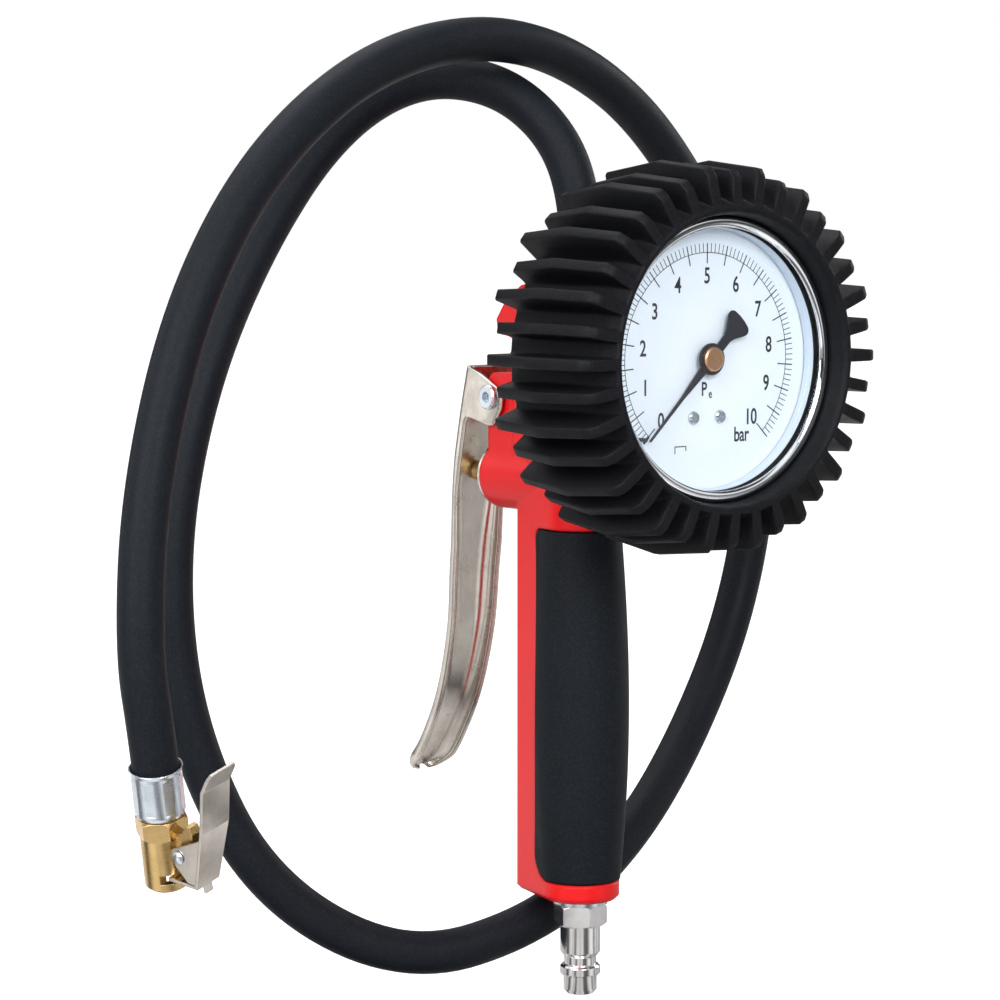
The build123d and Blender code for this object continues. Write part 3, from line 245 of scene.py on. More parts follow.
class Finish:
    """A material that is built up node by node."""

    def __init__(self, name):
        self.material = bpy.data.materials.new(name)
        self.material.use_nodes = True
        self.tree = self.material.node_tree
        self.tree.nodes.clear()
        self.place = self.node("ShaderNodeTexCoord", output="Object")

    def node(self, kind, settings=None, sockets=None, output=0):
        """Adds a node: its settings first, then the values or links of its sockets."""
        made = self.tree.nodes.new(kind)
        for key, value in (settings or {}).items():
            if key == "stops":
                ramp = made.color_ramp.elements
                ramp[0].position = value[0][0]
                ramp[1].position = value[-1][0]
                for at, _ in value[1:-1]:
                    ramp.new(at)
                for element, (_, shade) in zip(ramp, value):
                    element.color = (shade, shade, shade, 1) if isinstance(
                        shade, (int, float)) else (*shade, 1)
            else:
                setattr(made, key, value)
        for key, value in (sockets or {}).items():
            if isinstance(value, Wire):
                self.tree.links.new(value.socket, made.inputs[key])
            else:
                made.inputs[key].default_value = value
        return Wire(self, made.outputs[output])

    def stretched(self, scale, turn=(0, 0, 0)):
        """Object coordinates turned and scaled, so that a pattern can run along a piece."""
        turned = self.node("ShaderNodeMapping", None, {"Vector": self.place, "Rotation": turn})
        return self.node("ShaderNodeMapping", None, {"Vector": turned, "Scale": scale})

    def noise(self, scale, detail=3.0, rough=0.5, at=None):
        """Soft noise from 0 to 1, of about this many blobs per metre."""
        return self.node("ShaderNodeTexNoise", None, {
            "Vector": at or self.place, "Scale": scale, "Detail": detail, "Roughness": rough})

    def ramp(self, value, stops, output=0):
        """A value or colour read from stops along 0 to 1."""
        return self.node("ShaderNodeValToRGB", {"stops": stops}, {"Fac": value}, output)

    def mix(self, mask, first, second):
        """The first colour where the mask is 0 and the second where it is 1."""
        first = first if isinstance(first, Wire) else (*first, 1)
        second = second if isinstance(second, Wire) else (*second, 1)
        return self.node("ShaderNodeMix", {"data_type": "RGBA"}, {0: mask, 6: first, 7: second}, 2)

    def bevel(self, radius):
        """Normals that round sharp edges off by a radius."""
        return self.node("ShaderNodeBevel", {"samples": 6}, {"Radius": radius})

    def bump(self, height, depth, normal=None, strength=1.0):
        """Normals that follow a height from 0 to 1, this many metres deep."""
        sockets = {"Height": height, "Distance": depth, "Strength": strength}
        if normal:
            sockets["Normal"] = normal
        return self.node("ShaderNodeBump", None, sockets)

    def surface(self, **sockets):
        """Ends the material with a Principled shader. Underscores stand for spaces."""
        named = {key.replace("_", " "): value for key, value in sockets.items()}
        shader = self.node("ShaderNodeBsdfPrincipled", None, named)
        self.node_out(shader)
        return self.material

    def node_out(self, shader):
        """Links a shader to the material's output."""
        self.tree.links.new(
            shader.socket, self.tree.nodes.new("ShaderNodeOutputMaterial").inputs["Surface"])


# ---------------------------------------------------------------- finishes
def rubber_finish(name, colour, grain, depth, rough, edge):
    """Moulded rubber: fine grain, faint cloudy wear and a dry bloom on the raised grain."""
    finish = Finish(name)
    speckle = finish.noise(grain, 3.0, 0.6)
    cloud = finish.noise(60.0, 3.0, 0.6)
    pale = tuple(min(1.0, c * 2.2 + 0.004) for c in colour)
    spots = finish.ramp(speckle, [(0.45, 0.0), (0.75, 1.0)])
    shade = finish.mix(spots * 0.55 + cloud * 0.3, colour, pale)
    normal = finish.bevel(edge) if edge else None
    normal = finish.bump(speckle, depth, normal)
    return finish.surface(Base_Color=shade, Roughness=rough + (cloud - 0.5) * 0.22, Normal=normal,
                          Specular_IOR_Level=0.10)


def enamel_finish(name, colour):
    """Sprayed enamel on a die casting: slight orange peel, cloudy tone and edges rounded off in the
    shading.
    """
    finish = Finish(name)
    peel = finish.noise(900.0, 2.0, 0.5)
    cloud = finish.noise(35.0, 3.0, 0.6)
    deep = tuple(c * 0.82 for c in colour)
    shade = finish.mix(cloud, deep, colour)
    normal = finish.bump(peel, 0.00002, finish.bevel(0.0016))
    return finish.surface(Base_Color=shade, Roughness=0.30 + (cloud - 0.5) * 0.12, Normal=normal,
                          Coat_Weight=0.03, Coat_Roughness=0.15, Specular_IOR_Level=0.15)


def plated_finish(name, colour, rough, streak_turn=(0, 0, 0), edge=0.0004, ripple=0.00002):
    """Plated metal: rolling and polishing streaks along the piece, soft dents and dull patches."""
    finish = Finish(name)
    along = finish.stretched((1.0, 1.0, 0.05), streak_turn)
    streaks = finish.noise(2600.0, 3.0, 0.6, along)
    patches = finish.noise(140.0, 3.0, 0.6)
    dull = tuple(c * 0.80 for c in colour)
    shade = finish.mix(finish.ramp(patches, [(0.35, 0.0), (0.75, 1.0)]), colour, dull)
    wave = finish.bump(finish.noise(150.0, 1.0, 0.5), ripple * 4,
                       finish.bevel(edge) if edge else None)
    normal = finish.bump(streaks, ripple * 0.35, wave)
    return finish.surface(Base_Color=shade, Metallic=1.0, Normal=normal,
                          Roughness=rough + streaks * 0.10 + (patches - 0.5) * 0.14)


def turned_finish(name, colour, rough, edge=0.0003):
    """Turned and tumbled brass: fine scratches and slightly darker, tarnished patches."""
    finish = Finish(name)
    scratches = finish.noise(2200.0, 4.0, 0.7)
    patches = finish.noise(210.0, 3.0, 0.65)
    dark = (colour[0] * 0.80, colour[1] * 0.76, colour[2] * 0.72)
    shade = finish.mix(finish.ramp(patches, [(0.35, 0.0), (0.85, 1.0)]), colour, dark)
    normal = finish.bump(scratches, 0.000012, finish.bevel(edge))
    return finish.surface(Base_Color=shade, Metallic=1.0, Normal=normal,
                          Roughness=rough + (patches - 0.5) * 0.22 + scratches * 0.06)


def paint_finish(name, colour, rough):
    """Flat printed or lacquered paint with a faint tooth."""
    finish = Finish(name)
    tooth = finish.noise(3000.0, 2.0, 0.5)
    pale = tuple(min(1.0, c * 1.12 + 0.003) for c in colour)
    return finish.surface(Base_Color=finish.mix(tooth, colour, pale), Roughness=rough + tooth * 0.1,
                          Normal=finish.bump(tooth, 0.000004))


# Painted light and shade of the floor's bounced light by sector, as (noise, shade)
FLOOR_SECTORS = [(0.40, 0.10), (0.47, 0.62), (0.56, 0.62), (0.60, 0.30), (0.66, 0.75)]


def floor_finish(colour):
    """A pale matte floor that glows enough to stay even out to the horizon, and throws back
    less light than it shows, as if most of it were out of the lamps' reach."""
    finish = Finish("floor")
    grain = finish.noise(900.0, 2.0, 0.5)
    seen = finish.node("ShaderNodeBsdfPrincipled", None, {
        "Base Color": (*(c * 0.4 for c in colour), 1), "Roughness": 0.75 + grain * 0.1,
        "Emission Color": (1, 1, 1, 1), "Emission Strength": 0.9, "Specular IOR Level": 0.1})
    # Seen in metal, the floor shows painted light in sectors round the object, with painted shade
    # as dark stands between them
    bearing = finish.node("ShaderNodeVectorMath", {"operation": "NORMALIZE"}, {0: finish.node(
        "ShaderNodeMapping", None, {"Vector": finish.place, "Scale": (1, 1, 0)})})
    turns = finish.noise(2.6, 0.0, 0.5, bearing)
    shade = finish.ramp(turns, FLOOR_SECTORS)
    bounced = finish.node("ShaderNodeBsdfDiffuse", None, {"Color": shade, "Roughness": 0.5})
    camera = finish.node("ShaderNodeLightPath", output="Is Camera Ray")
    finish.node_out(finish.node("ShaderNodeMixShader", None, {0: camera, 1: bounced, 2: seen}))
    return finish.material


def glass_finish(name):
    """Clear polished glass: it reflects as its angle grows and lets the rest through."""
    finish = Finish(name)
    facing = finish.node("ShaderNodeLayerWeight", None, {"Blend": 0.5}, "Facing")
    smear = finish.noise(50.0, 3.0, 0.6)
    return finish.surface(Base_Color=(0.95, 0.98, 1.0, 1), Metallic=1.0,
                          Alpha=facing ** 4.0 * 0.8 + 0.03, Roughness=0.02 + smear * 0.03)


def chrome_finish(name, colour):
    """Polished chrome with a few hairline scuffs."""
    finish = Finish(name)
    scuffs = finish.ramp(finish.noise(1400.0, 4.0, 0.75), [(0.55, 0.0), (0.75, 1.0)])
    return finish.surface(Base_Color=(*colour, 1), Metallic=1.0, Roughness=0.05 + scuffs * 0.10,
                          Normal=finish.bump(scuffs, 0.000003))


# ---------------------------------------------------------------- shape helpers
def add_mesh(name, points, faces, material, smooth=True):
    """A mesh object from arrays of points and faces, its normals made to point outwards."""
    mesh = bpy.data.meshes.new(name)
    mesh.from_pydata(np.asarray(points).reshape(-1, 3).tolist(), [], np.asarray(faces).tolist())
    work = bmesh.new()
    work.from_mesh(mesh)
    bmesh.ops.remove_doubles(work, verts=work.verts, dist=1e-7)
    bmesh.ops.recalc_face_normals(work, faces=work.faces)
    work.to_mesh(mesh)
    work.free()
    mesh.materials.append(material)
    mesh.polygons.foreach_set("use_smooth", np.full(len(mesh.polygons), smooth))
    made = bpy.data.objects.new(name, mesh)
    bpy.context.scene.collection.objects.link(made)
    return made


def grid_faces(rows, columns, wrap_rows, wrap_columns):
    """Quads of a grid whose rows or columns may run round and meet themselves."""
    index = np.arange(rows * columns).reshape(rows, columns)
    if wrap_rows:
        index = np.vstack([index, index[:1]])
    if wrap_columns:
        index = np.hstack([index, index[:, :1]])
    return np.stack([index[:-1, :-1], index[:-1, 1:], index[1:, 1:], index[1:, :-1]],
                    -1).reshape(-1, 4)


def rounded(outline, radius, closed=True, steps=4):
    """A polyline with arcs at its corners: each arc starts and ends one radius from its corner,
    or less where a side is short, and follows a parabola between the two sides."""
    points = np.asarray(outline, float)
    count = len(points)
    made = []
    for i in range(count):
        here = points[i]
        if not closed and i in (0, count - 1):
            made.append(here)
            continue
        before, after = points[i - 1] - here, points[(i + 1) % count] - here
        reach = min(radius, 0.45 * np.linalg.norm(before), 0.45 * np.linalg.norm(after))
        start = here + before / np.linalg.norm(before) * reach
        end = here + after / np.linalg.norm(after) * reach
        for t in np.linspace(0, 1, steps + 1):
            made.append((1 - t) ** 2 * start + 2 * t * (1 - t) * here + t ** 2 * end)
    return np.array(made)


def revolved(name, outline, material, steps=144, centre=None, smooth=True):
    """A closed (radius, distance behind the dial) outline spun about the gauge's axis: a point at
    angle a is the centre plus radius times (cos a, 0, sin a) plus distance along +Y."""
    outline = np.asarray(outline, float)
    angle = np.linspace(0, 2 * pi, steps, endpoint=False)[:, None]
    centre = centre or (DIAL_CENTRE.x, DIAL_FACE_Y, DIAL_CENTRE.z)
    grid = np.stack([
        centre[0] + np.cos(angle) * outline[:, 0],
        centre[1] + np.ones_like(angle) * outline[:, 1],
        centre[2] + np.sin(angle) * outline[:, 0]], -1)
    return add_mesh(name, grid, grid_faces(steps, len(outline), True, True), material, smooth)


# ---------------------------------------------------------------- operators
class INFLATOR_OT_stage(bpy.types.Operator):
    """Sets the floor, the studio lights and the camera."""
    bl_idname = "inflator.stage"
    bl_label = "Stage"

    def execute(self, context):
        look = context.scene.inflator_stage
        scene = context.scene
        scene.view_settings.view_transform = "Standard"

        heading, pitch = look.heading, look.pitch
        forward = Vector((sin(heading) * cos(pitch), cos(heading) * cos(pitch), -sin(pitch)))
        lens = bpy.data.cameras.new("camera")
        lens.sensor_width = 36.0
        lens.lens = look.focal_length
        lens.clip_start, lens.clip_end = 0.01, 20.0
        camera = bpy.data.objects.new("camera", lens)
        camera.location = CAMERA_PLACE
        camera.rotation_mode = "QUATERNION"
        camera.rotation_quaternion = forward.to_track_quat("-Z", "Y")
        scene.collection.objects.link(camera)
        scene.camera = camera

        level = CAD_BOX[0].z - FLOOR_GAP
        corners = [(i * FLOOR_REACH, j * FLOOR_REACH, level)
                   for i, j in ((-1, -1), (1, -1), (1, 1), (-1, 1))]
        floor = add_mesh("floor", corners, [(0, 1, 2, 3)],
                         floor_finish(tuple(look.floor_colour)), False)

        world = bpy.data.worlds.new("studio")
        scene.world = world
        world.use_nodes = True
        tree = world.node_tree
        tree.nodes.clear()
        ways = tree.nodes.new("ShaderNodeTexCoord")
        split = tree.nodes.new("ShaderNodeSeparateXYZ")
        tree.links.new(ways.outputs["Generated"], split.inputs[0])
        ramp = tree.nodes.new("ShaderNodeValToRGB")
        for _ in range(3):
            ramp.color_ramp.elements.new(0.5)
        for element, (at, shade) in zip(ramp.color_ramp.elements, ROOM_SHADES):
            element.position = at
            element.color = (shade, shade, shade * 1.02, 1)
        half = tree.nodes.new("ShaderNodeMath")
        half.operation = "MULTIPLY_ADD"
        half.inputs[1].default_value = 0.5
        half.inputs[2].default_value = 0.5
        tree.links.new(split.outputs[2], half.inputs[0])
        tree.links.new(half.outputs[0], ramp.inputs[0])
        # Dark gaps between the lit areas of the room, for metal to mirror
        gaps = tree.nodes.new("ShaderNodeTexNoise")
        gaps.inputs["Scale"].default_value = 2.1
        gaps.inputs["Detail"].default_value = 0.0
        tree.links.new(ways.outputs["Generated"], gaps.inputs["Vector"])
        share = tree.nodes.new("ShaderNodeMapRange")
        for key, value in ROOM_GAPS.items():
            share.inputs[key].default_value = value
        tree.links.new(gaps.outputs[0], share.inputs["Value"])
        room = tree.nodes.new("ShaderNodeBackground")
        tree.links.new(ramp.outputs[0], room.inputs[0])
        tree.links.new(share.outputs[0], room.inputs[1])
        white = tree.nodes.new("ShaderNodeBackground")
        white.inputs[0].default_value = (1, 1, 1, 1)
        seen = tree.nodes.new("ShaderNodeLightPath")
        blend = tree.nodes.new("ShaderNodeMixShader")
        tree.links.new(seen.outputs["Is Camera Ray"], blend.inputs[0])
        tree.links.new(room.outputs[0], blend.inputs[1])
        tree.links.new(white.outputs[0], blend.inputs[2])
        out = tree.nodes.new("ShaderNodeOutputWorld")
        tree.links.new(blend.outputs[0], out.inputs[0])

        for name, place, width, height, power in LAMPS:
            lamp = bpy.data.lights.new(name, "AREA")
            lamp.shape = "RECTANGLE"
            lamp.size, lamp.size_y = width, height
            lamp.energy = power
            holder = bpy.data.objects.new(name, lamp)
            holder.location = place
            holder.rotation_mode = "QUATERNION"
            aim = Vector(LAMP_TARGET) - Vector(place)
            holder.rotation_quaternion = aim.to_track_quat("-Z", "Y")
            scene.collection.objects.link(holder)
        return {"FINISHED"}


class INFLATOR_OT_hose(bpy.types.Operator):
    """Runs the hose along its route as one smooth tube."""
    bl_idname = "inflator.hose"
    bl_label = "Hose"

    def execute(self, context):
        look = context.scene.inflator_hose
        curve = bpy.data.curves.new("hose_tube", "CURVE")
        curve.dimensions = "3D"
        line = curve.splines.new("NURBS")
        line.points.add(len(HOSE_ROUTE) - 1)
        weighted = np.hstack([np.array(HOSE_ROUTE), np.ones((len(HOSE_ROUTE), 1))])
        line.points.foreach_set("co", weighted.ravel())
        line.order_u = 3
        line.use_endpoint_u = True
        line.resolution_u = 12
        curve.bevel_depth = look.diameter / 2
        curve.bevel_resolution = 8
        curve.use_fill_caps = True
        hose = bpy.data.objects.new("hose_tube", curve)
        context.scene.collection.objects.link(hose)
        curve.materials.append(rubber_finish("hose_rubber", tuple(look.colour), 1500.0, 0.00003,
                                             0.52, 0))
        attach(hose, "root")
        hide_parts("hose")
        return {"FINISHED"}


class INFLATOR_OT_lever(bpy.types.Operator):
    """Presses the squeeze lever: a rounded channel whose flanges grow into the pivot's ears."""
    bl_idname = "inflator.lever"
    bl_label = "Squeeze lever"

    def execute(self, context):
        look = context.scene.inflator_lever
        line = self.smooth(np.array(LEVER_BACK), 400)
        run = np.concatenate([[0], np.cumsum(np.linalg.norm(np.diff(line, axis=0), axis=1))])
        whole = run[-1]
        at = np.unique(np.concatenate([
            np.linspace(0, LEVER_EAR_TOP, 14), np.linspace(LEVER_EAR_TOP, LEVER_EAR_LOW, 14),
            np.linspace(LEVER_EAR_LOW, LEVER_NECK, 18),
            np.linspace(LEVER_NECK, whole - LEVER_TIP_FINE, 90),
            whole - LEVER_TIP_FINE * np.cos(np.linspace(0, pi / 2, 16))]))
        back = np.stack([np.interp(at, run, line[:, 0]), np.interp(at, run, line[:, 1])], -1)
        way = np.gradient(back, at, axis=0)
        way /= np.linalg.norm(way, axis=1)[:, None]
        front = np.stack([way[:, 1], -way[:, 0]], -1)
        # Half width: even down to the barrel, then closing in, with a rounded tip
        half = np.interp(at, [0, LEVER_STRAIGHT, whole],
                         [look.top_width / 2, look.top_width / 2, look.tip_width / 2])
        end = np.clip((at - (whole - LEVER_TIP_ROUND)) / LEVER_TIP_ROUND, 0, 1)
        half = half - LEVER_TIP_DROP * (1 - np.sqrt(1 - end ** 2))
        deep, across = np.array(LEVER_FRONT).T
        depth = np.interp(at, deep, across)
        # Cross-section, as (across, in from the back): one flange's rounded edge, its outer
        # wall, a quarter circle, the web; the same mirrored; then the inner skin back again
        sheet, ease = look.sheet, 0.0004
        bend = np.interp(at, [0.030, 0.055, 0.100], [look.bend, look.low_bend, look.low_bend])
        bend = (bend * (1 - 0.45 * end))[:, None]
        inner = bend - sheet * 0.55
        half, deep = half[:, None], np.maximum(depth[:, None], bend + 0.0010)
        corner = np.linspace(0, pi / 2, 8)[None]
        wall = np.linspace(1, 0, 4)[None]
        web = np.linspace(1, 0, 5)[None, 1:]
        level = np.ones_like(half)
        outer = self.joined([
            (half - sheet / 2 * level, deep), (half - ease, deep - 0.2 * ease),
            (half + 0 * wall, bend + (deep - 2 * ease - bend) * wall),
            (half - bend * (1 - np.cos(corner[:, 1:])),
             bend - bend * np.sin(corner[:, 1:]) * level),
            ((half - bend) * web, 0 * web * level)])
        skin = self.joined([
            (half - sheet / 2 * level, deep), (half - sheet + ease, deep - 0.2 * ease),
            (half - sheet + 0 * wall, sheet + inner + (deep - 2 * ease - sheet - inner) * wall),
            (half - sheet - inner * (1 - np.cos(corner[:, 1:])),
             sheet + inner * (1 - np.sin(corner[:, 1:])) * level),
            ((half - sheet - inner) * web, sheet + 0 * web * level)])
        mirror = np.array([-1, 1])
        ring = np.concatenate([outer, outer[:, -2::-1] * mirror, skin[:, :-1] * mirror,
                               skin[:, ::-1]], 1)
        grid = np.stack([ring[..., 0], back[:, None, 0] + front[:, None, 0] * ring[..., 1],
                         back[:, None, 1] + front[:, None, 1] * ring[..., 1]], -1)
        faces = grid_faces(*grid.shape[:2], False, True)
        count = grid.shape[1]
        # Each end is closed by a strip of quads between the outer and the inner skin
        side = np.arange(count // 2 - 1)
        mate = count - 1 - side
        cap = np.stack([side, side + 1, mate - 1, mate], -1)
        last = (len(at) - 1) * count
        faces = np.concatenate([faces, cap[:, ::-1], cap + last])
        finish = plated_finish("lever_nickel", tuple(context.scene.inflator_finish.nickel), 0.20,
                               edge=0)
        lever = add_mesh("lever_channel", grid, faces, finish)
        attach(lever, "lever")
        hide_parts("trigger_lever")
        return {"FINISHED"}

    @staticmethod
    def joined(runs):
        """Runs of (across, in) pairs laid end to end along the cross-section."""
        return np.concatenate([np.stack(np.broadcast_arrays(*run), -1) for run in runs], 1)

    @staticmethod
    def smooth(points, count):
        """A curve through points: between two of them it is the cubic whose slopes at both ends
        are those of the line between their neighbours."""
        ends = np.concatenate([[2 * points[0] - points[1]], points, [2 * points[-1] - points[-2]]])
        at = np.linspace(0, len(points) - 1 - 1e-9, count)
        k = at.astype(int)
        t = (at - k)[:, None]
        a, b, c, d = ends[k], ends[k + 1], ends[k + 2], ends[k + 3]
        return 0.5 * (2 * b + (c - a) * t + (2 * a - 5 * b + 4 * c - d) * t ** 2
                      + (3 * b - a - 3 * c + d) * t ** 3)


class INFLATOR_OT_cover(bpy.types.Operator):
    """Moulds the finned rubber cover."""
    bl_idname = "inflator.cover"
    bl_label = "Rubber cover"

    def execute(self, context):
        look = context.scene.inflator_cover
        # The sleeve and the two fin outlines share one parameter along their length: 0 is the
        # front lip's crest and 1 the back edge. Each is (radius, distance behind the dial), and
        # everything here is in millimetres until the grid is put in place.
        along = np.concatenate([np.linspace(0, 0.2, 9), np.linspace(0.2, 0.8, 13)[1:],
                                np.linspace(0.8, 1.0, 7)[1:]])
        sleeve = self.spread([(42.9, -13.3), (43.4, -11.6), (44.5, -8.4), (45.0, -5.2), (45.0, 9.0),
                              (45.0, 20.0), (45.0, 31.2), (44.6, 32.0), (44.0, 32.2)],
                             [0, 0.06, 0.12, 0.2, 0.45, 0.6, 0.8, 0.9, 1.0], along)
        fin = self.spread([(43.4, -13.0), (48.0, -12.8), (52.0, -12.5), (54.0, -10.8), (56.2, 9.6),
                           (54.8, 20.0), (53.3, 31.6), (52.9, 32.2), (45.0, 32.2)],
                          [0, 0.06, 0.13, 0.2, 0.45, 0.6, 0.8, 0.83, 1.0], along)
        short = self.spread([(43.4, -13.0), (47.0, -12.8), (50.6, -12.5), (52.6, -10.8),
                             (54.8, 9.6), (53.4, 20.0), (52.0, 29.6), (51.6, 30.2), (45.0, 30.2)],
                            [0, 0.06, 0.13, 0.2, 0.45, 0.6, 0.8, 0.83, 1.0], along)
        # The lining runs back to the front lip inside the fins
        lining = rounded([(44.0, 32.2), (34.0, 32.2), (34.0, 30.2), (39.2, 30.2), (39.2, 3.4),
                          (40.15, 3.4), (40.15, -8.2), (40.9, -12.6), (41.9, -13.5), (42.9, -13.3)],
                         0.6, closed=False, steps=2)[1:-1]
        half = look.fin_thickness * 500
        edge = look.edge * 1000
        pitch = 2 * pi / look.fins
        # Across one fin: offset from its middle in mm, height from the sleeve (0) to the crest (1)
        steps = [(-half - 0.7, 0.0), (-half - 0.2, 0.03), (-half, 0.09), (-half, 0.5),
                 (-half, 1 - edge / 9), (-half + 0.3 * edge, 1 - edge / 32), (-half + edge, 1.0),
                 (0, 1.0), (half - edge, 1.0), (half - 0.3 * edge, 1 - edge / 32),
                 (half, 1 - edge / 9), (half, 0.5), (half, 0.09), (half + 0.2, 0.03),
                 (half + 0.7, 0.0)]
        offsets = np.array([s[0] for s in steps])
        heights = np.array([s[1] for s in steps])
        rows = []
        # A point of a fin stands a fixed distance off the fin's middle plane, so its angle is the
        # arctangent of that distance over the rest of its radius
        for i in range(look.fins):
            middle = i * pitch
            crest = short if i % 2 else fin
            outline = sleeve[None] + heights[:, None, None] * (crest - sleeve)[None]
            body = np.concatenate([outline, np.broadcast_to(lining[None], (
                len(steps), *lining.shape))], 1)
            lean = np.zeros(body.shape[:2])
            lean[:, :len(along)] = offsets[:, None]
            lean[:, len(along):] = offsets[:, None] * lining[None, :, 0] / SLEEVE_RADIUS
            side = np.arctan2(lean, np.sqrt(np.maximum(body[..., 0] ** 2 - lean ** 2, 1)))
            radius = np.where(heights[:, None] > 0.02, np.hypot(body[..., 0], lean),
                              body[..., 0])
            angle = middle + side
            rows.append(np.stack([radius * np.cos(angle), body[..., 1], radius * np.sin(angle)],
                                 -1))
        grid = np.concatenate(rows) / 1000 + np.array([DIAL_CENTRE.x, DIAL_FACE_Y, DIAL_CENTRE.z])
        cover = add_mesh("cover_shell", grid,
                         grid_faces(grid.shape[0], grid.shape[1], True, True),
                         rubber_finish("cover_rubber", tuple(look.colour), 1700.0, 0.00006, 0.5,
                                       0))
        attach(cover, "root")
        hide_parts("gauge_cover")
        return {"FINISHED"}

    @staticmethod
    def spread(points, at, wanted):
        """Points of an outline, straight between the given ones, at the wanted parameters."""
        points = np.array(points, float)
        return np.stack([np.interp(wanted, at, points[:, 0]), np.interp(wanted, at, points[:, 1])],
                        -1)


class INFLATOR_OT_gauge(bpy.types.Operator):
    """Makes the chrome bezel, the window and the finishes of the gauge's face."""
    bl_idname = "inflator.gauge"
    bl_label = "Gauge face"

    def execute(self, context):
        chrome = chrome_finish("bezel_chrome", (0.80, 0.82, 0.85))
        bezel = revolved("bezel_chrome_ring", rounded([
            (0.03680, -0.00642), (0.03680, -0.00700), (0.03760, -0.00760), (0.03920, -0.00760),
            (0.04000, -0.00680), (0.04000, 0.00300), (0.03902, 0.00300), (0.03902, -0.00642)],
            0.0007, steps=5), chrome, 180)
        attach(bezel, "root")
        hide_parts("bezel_ring")

        # White inner wall between the dial and the window
        wall = revolved("dial_surround", rounded([
            (0.03655, -0.00040), (0.03655, -0.00405), (0.03695, -0.00405), (0.03695, -0.00040)],
            0.00015, steps=3), paint_finish("surround_white", (0.58, 0.66, 0.76), 0.25), 120)
        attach(wall, "root")

        bow = np.linspace(0, 1, 25)
        front = np.stack([0.0368 * bow, -0.0064 - 0.0001 * (1 - bow ** 2)], -1)
        glass = revolved("window_glass", np.concatenate([
            front, [(0.0384, -0.0064), (0.0387, -0.0063), (0.0388, -0.0061), (0.0388, -0.0047),
                    (0.0387, -0.0045), (0.0384, -0.0044), (0.0376, -0.0044), (0, -0.0044)]]),
            glass_finish("window_glass"), 120)
        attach(glass, "root")
        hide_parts("gauge_window")
        return {"FINISHED"}


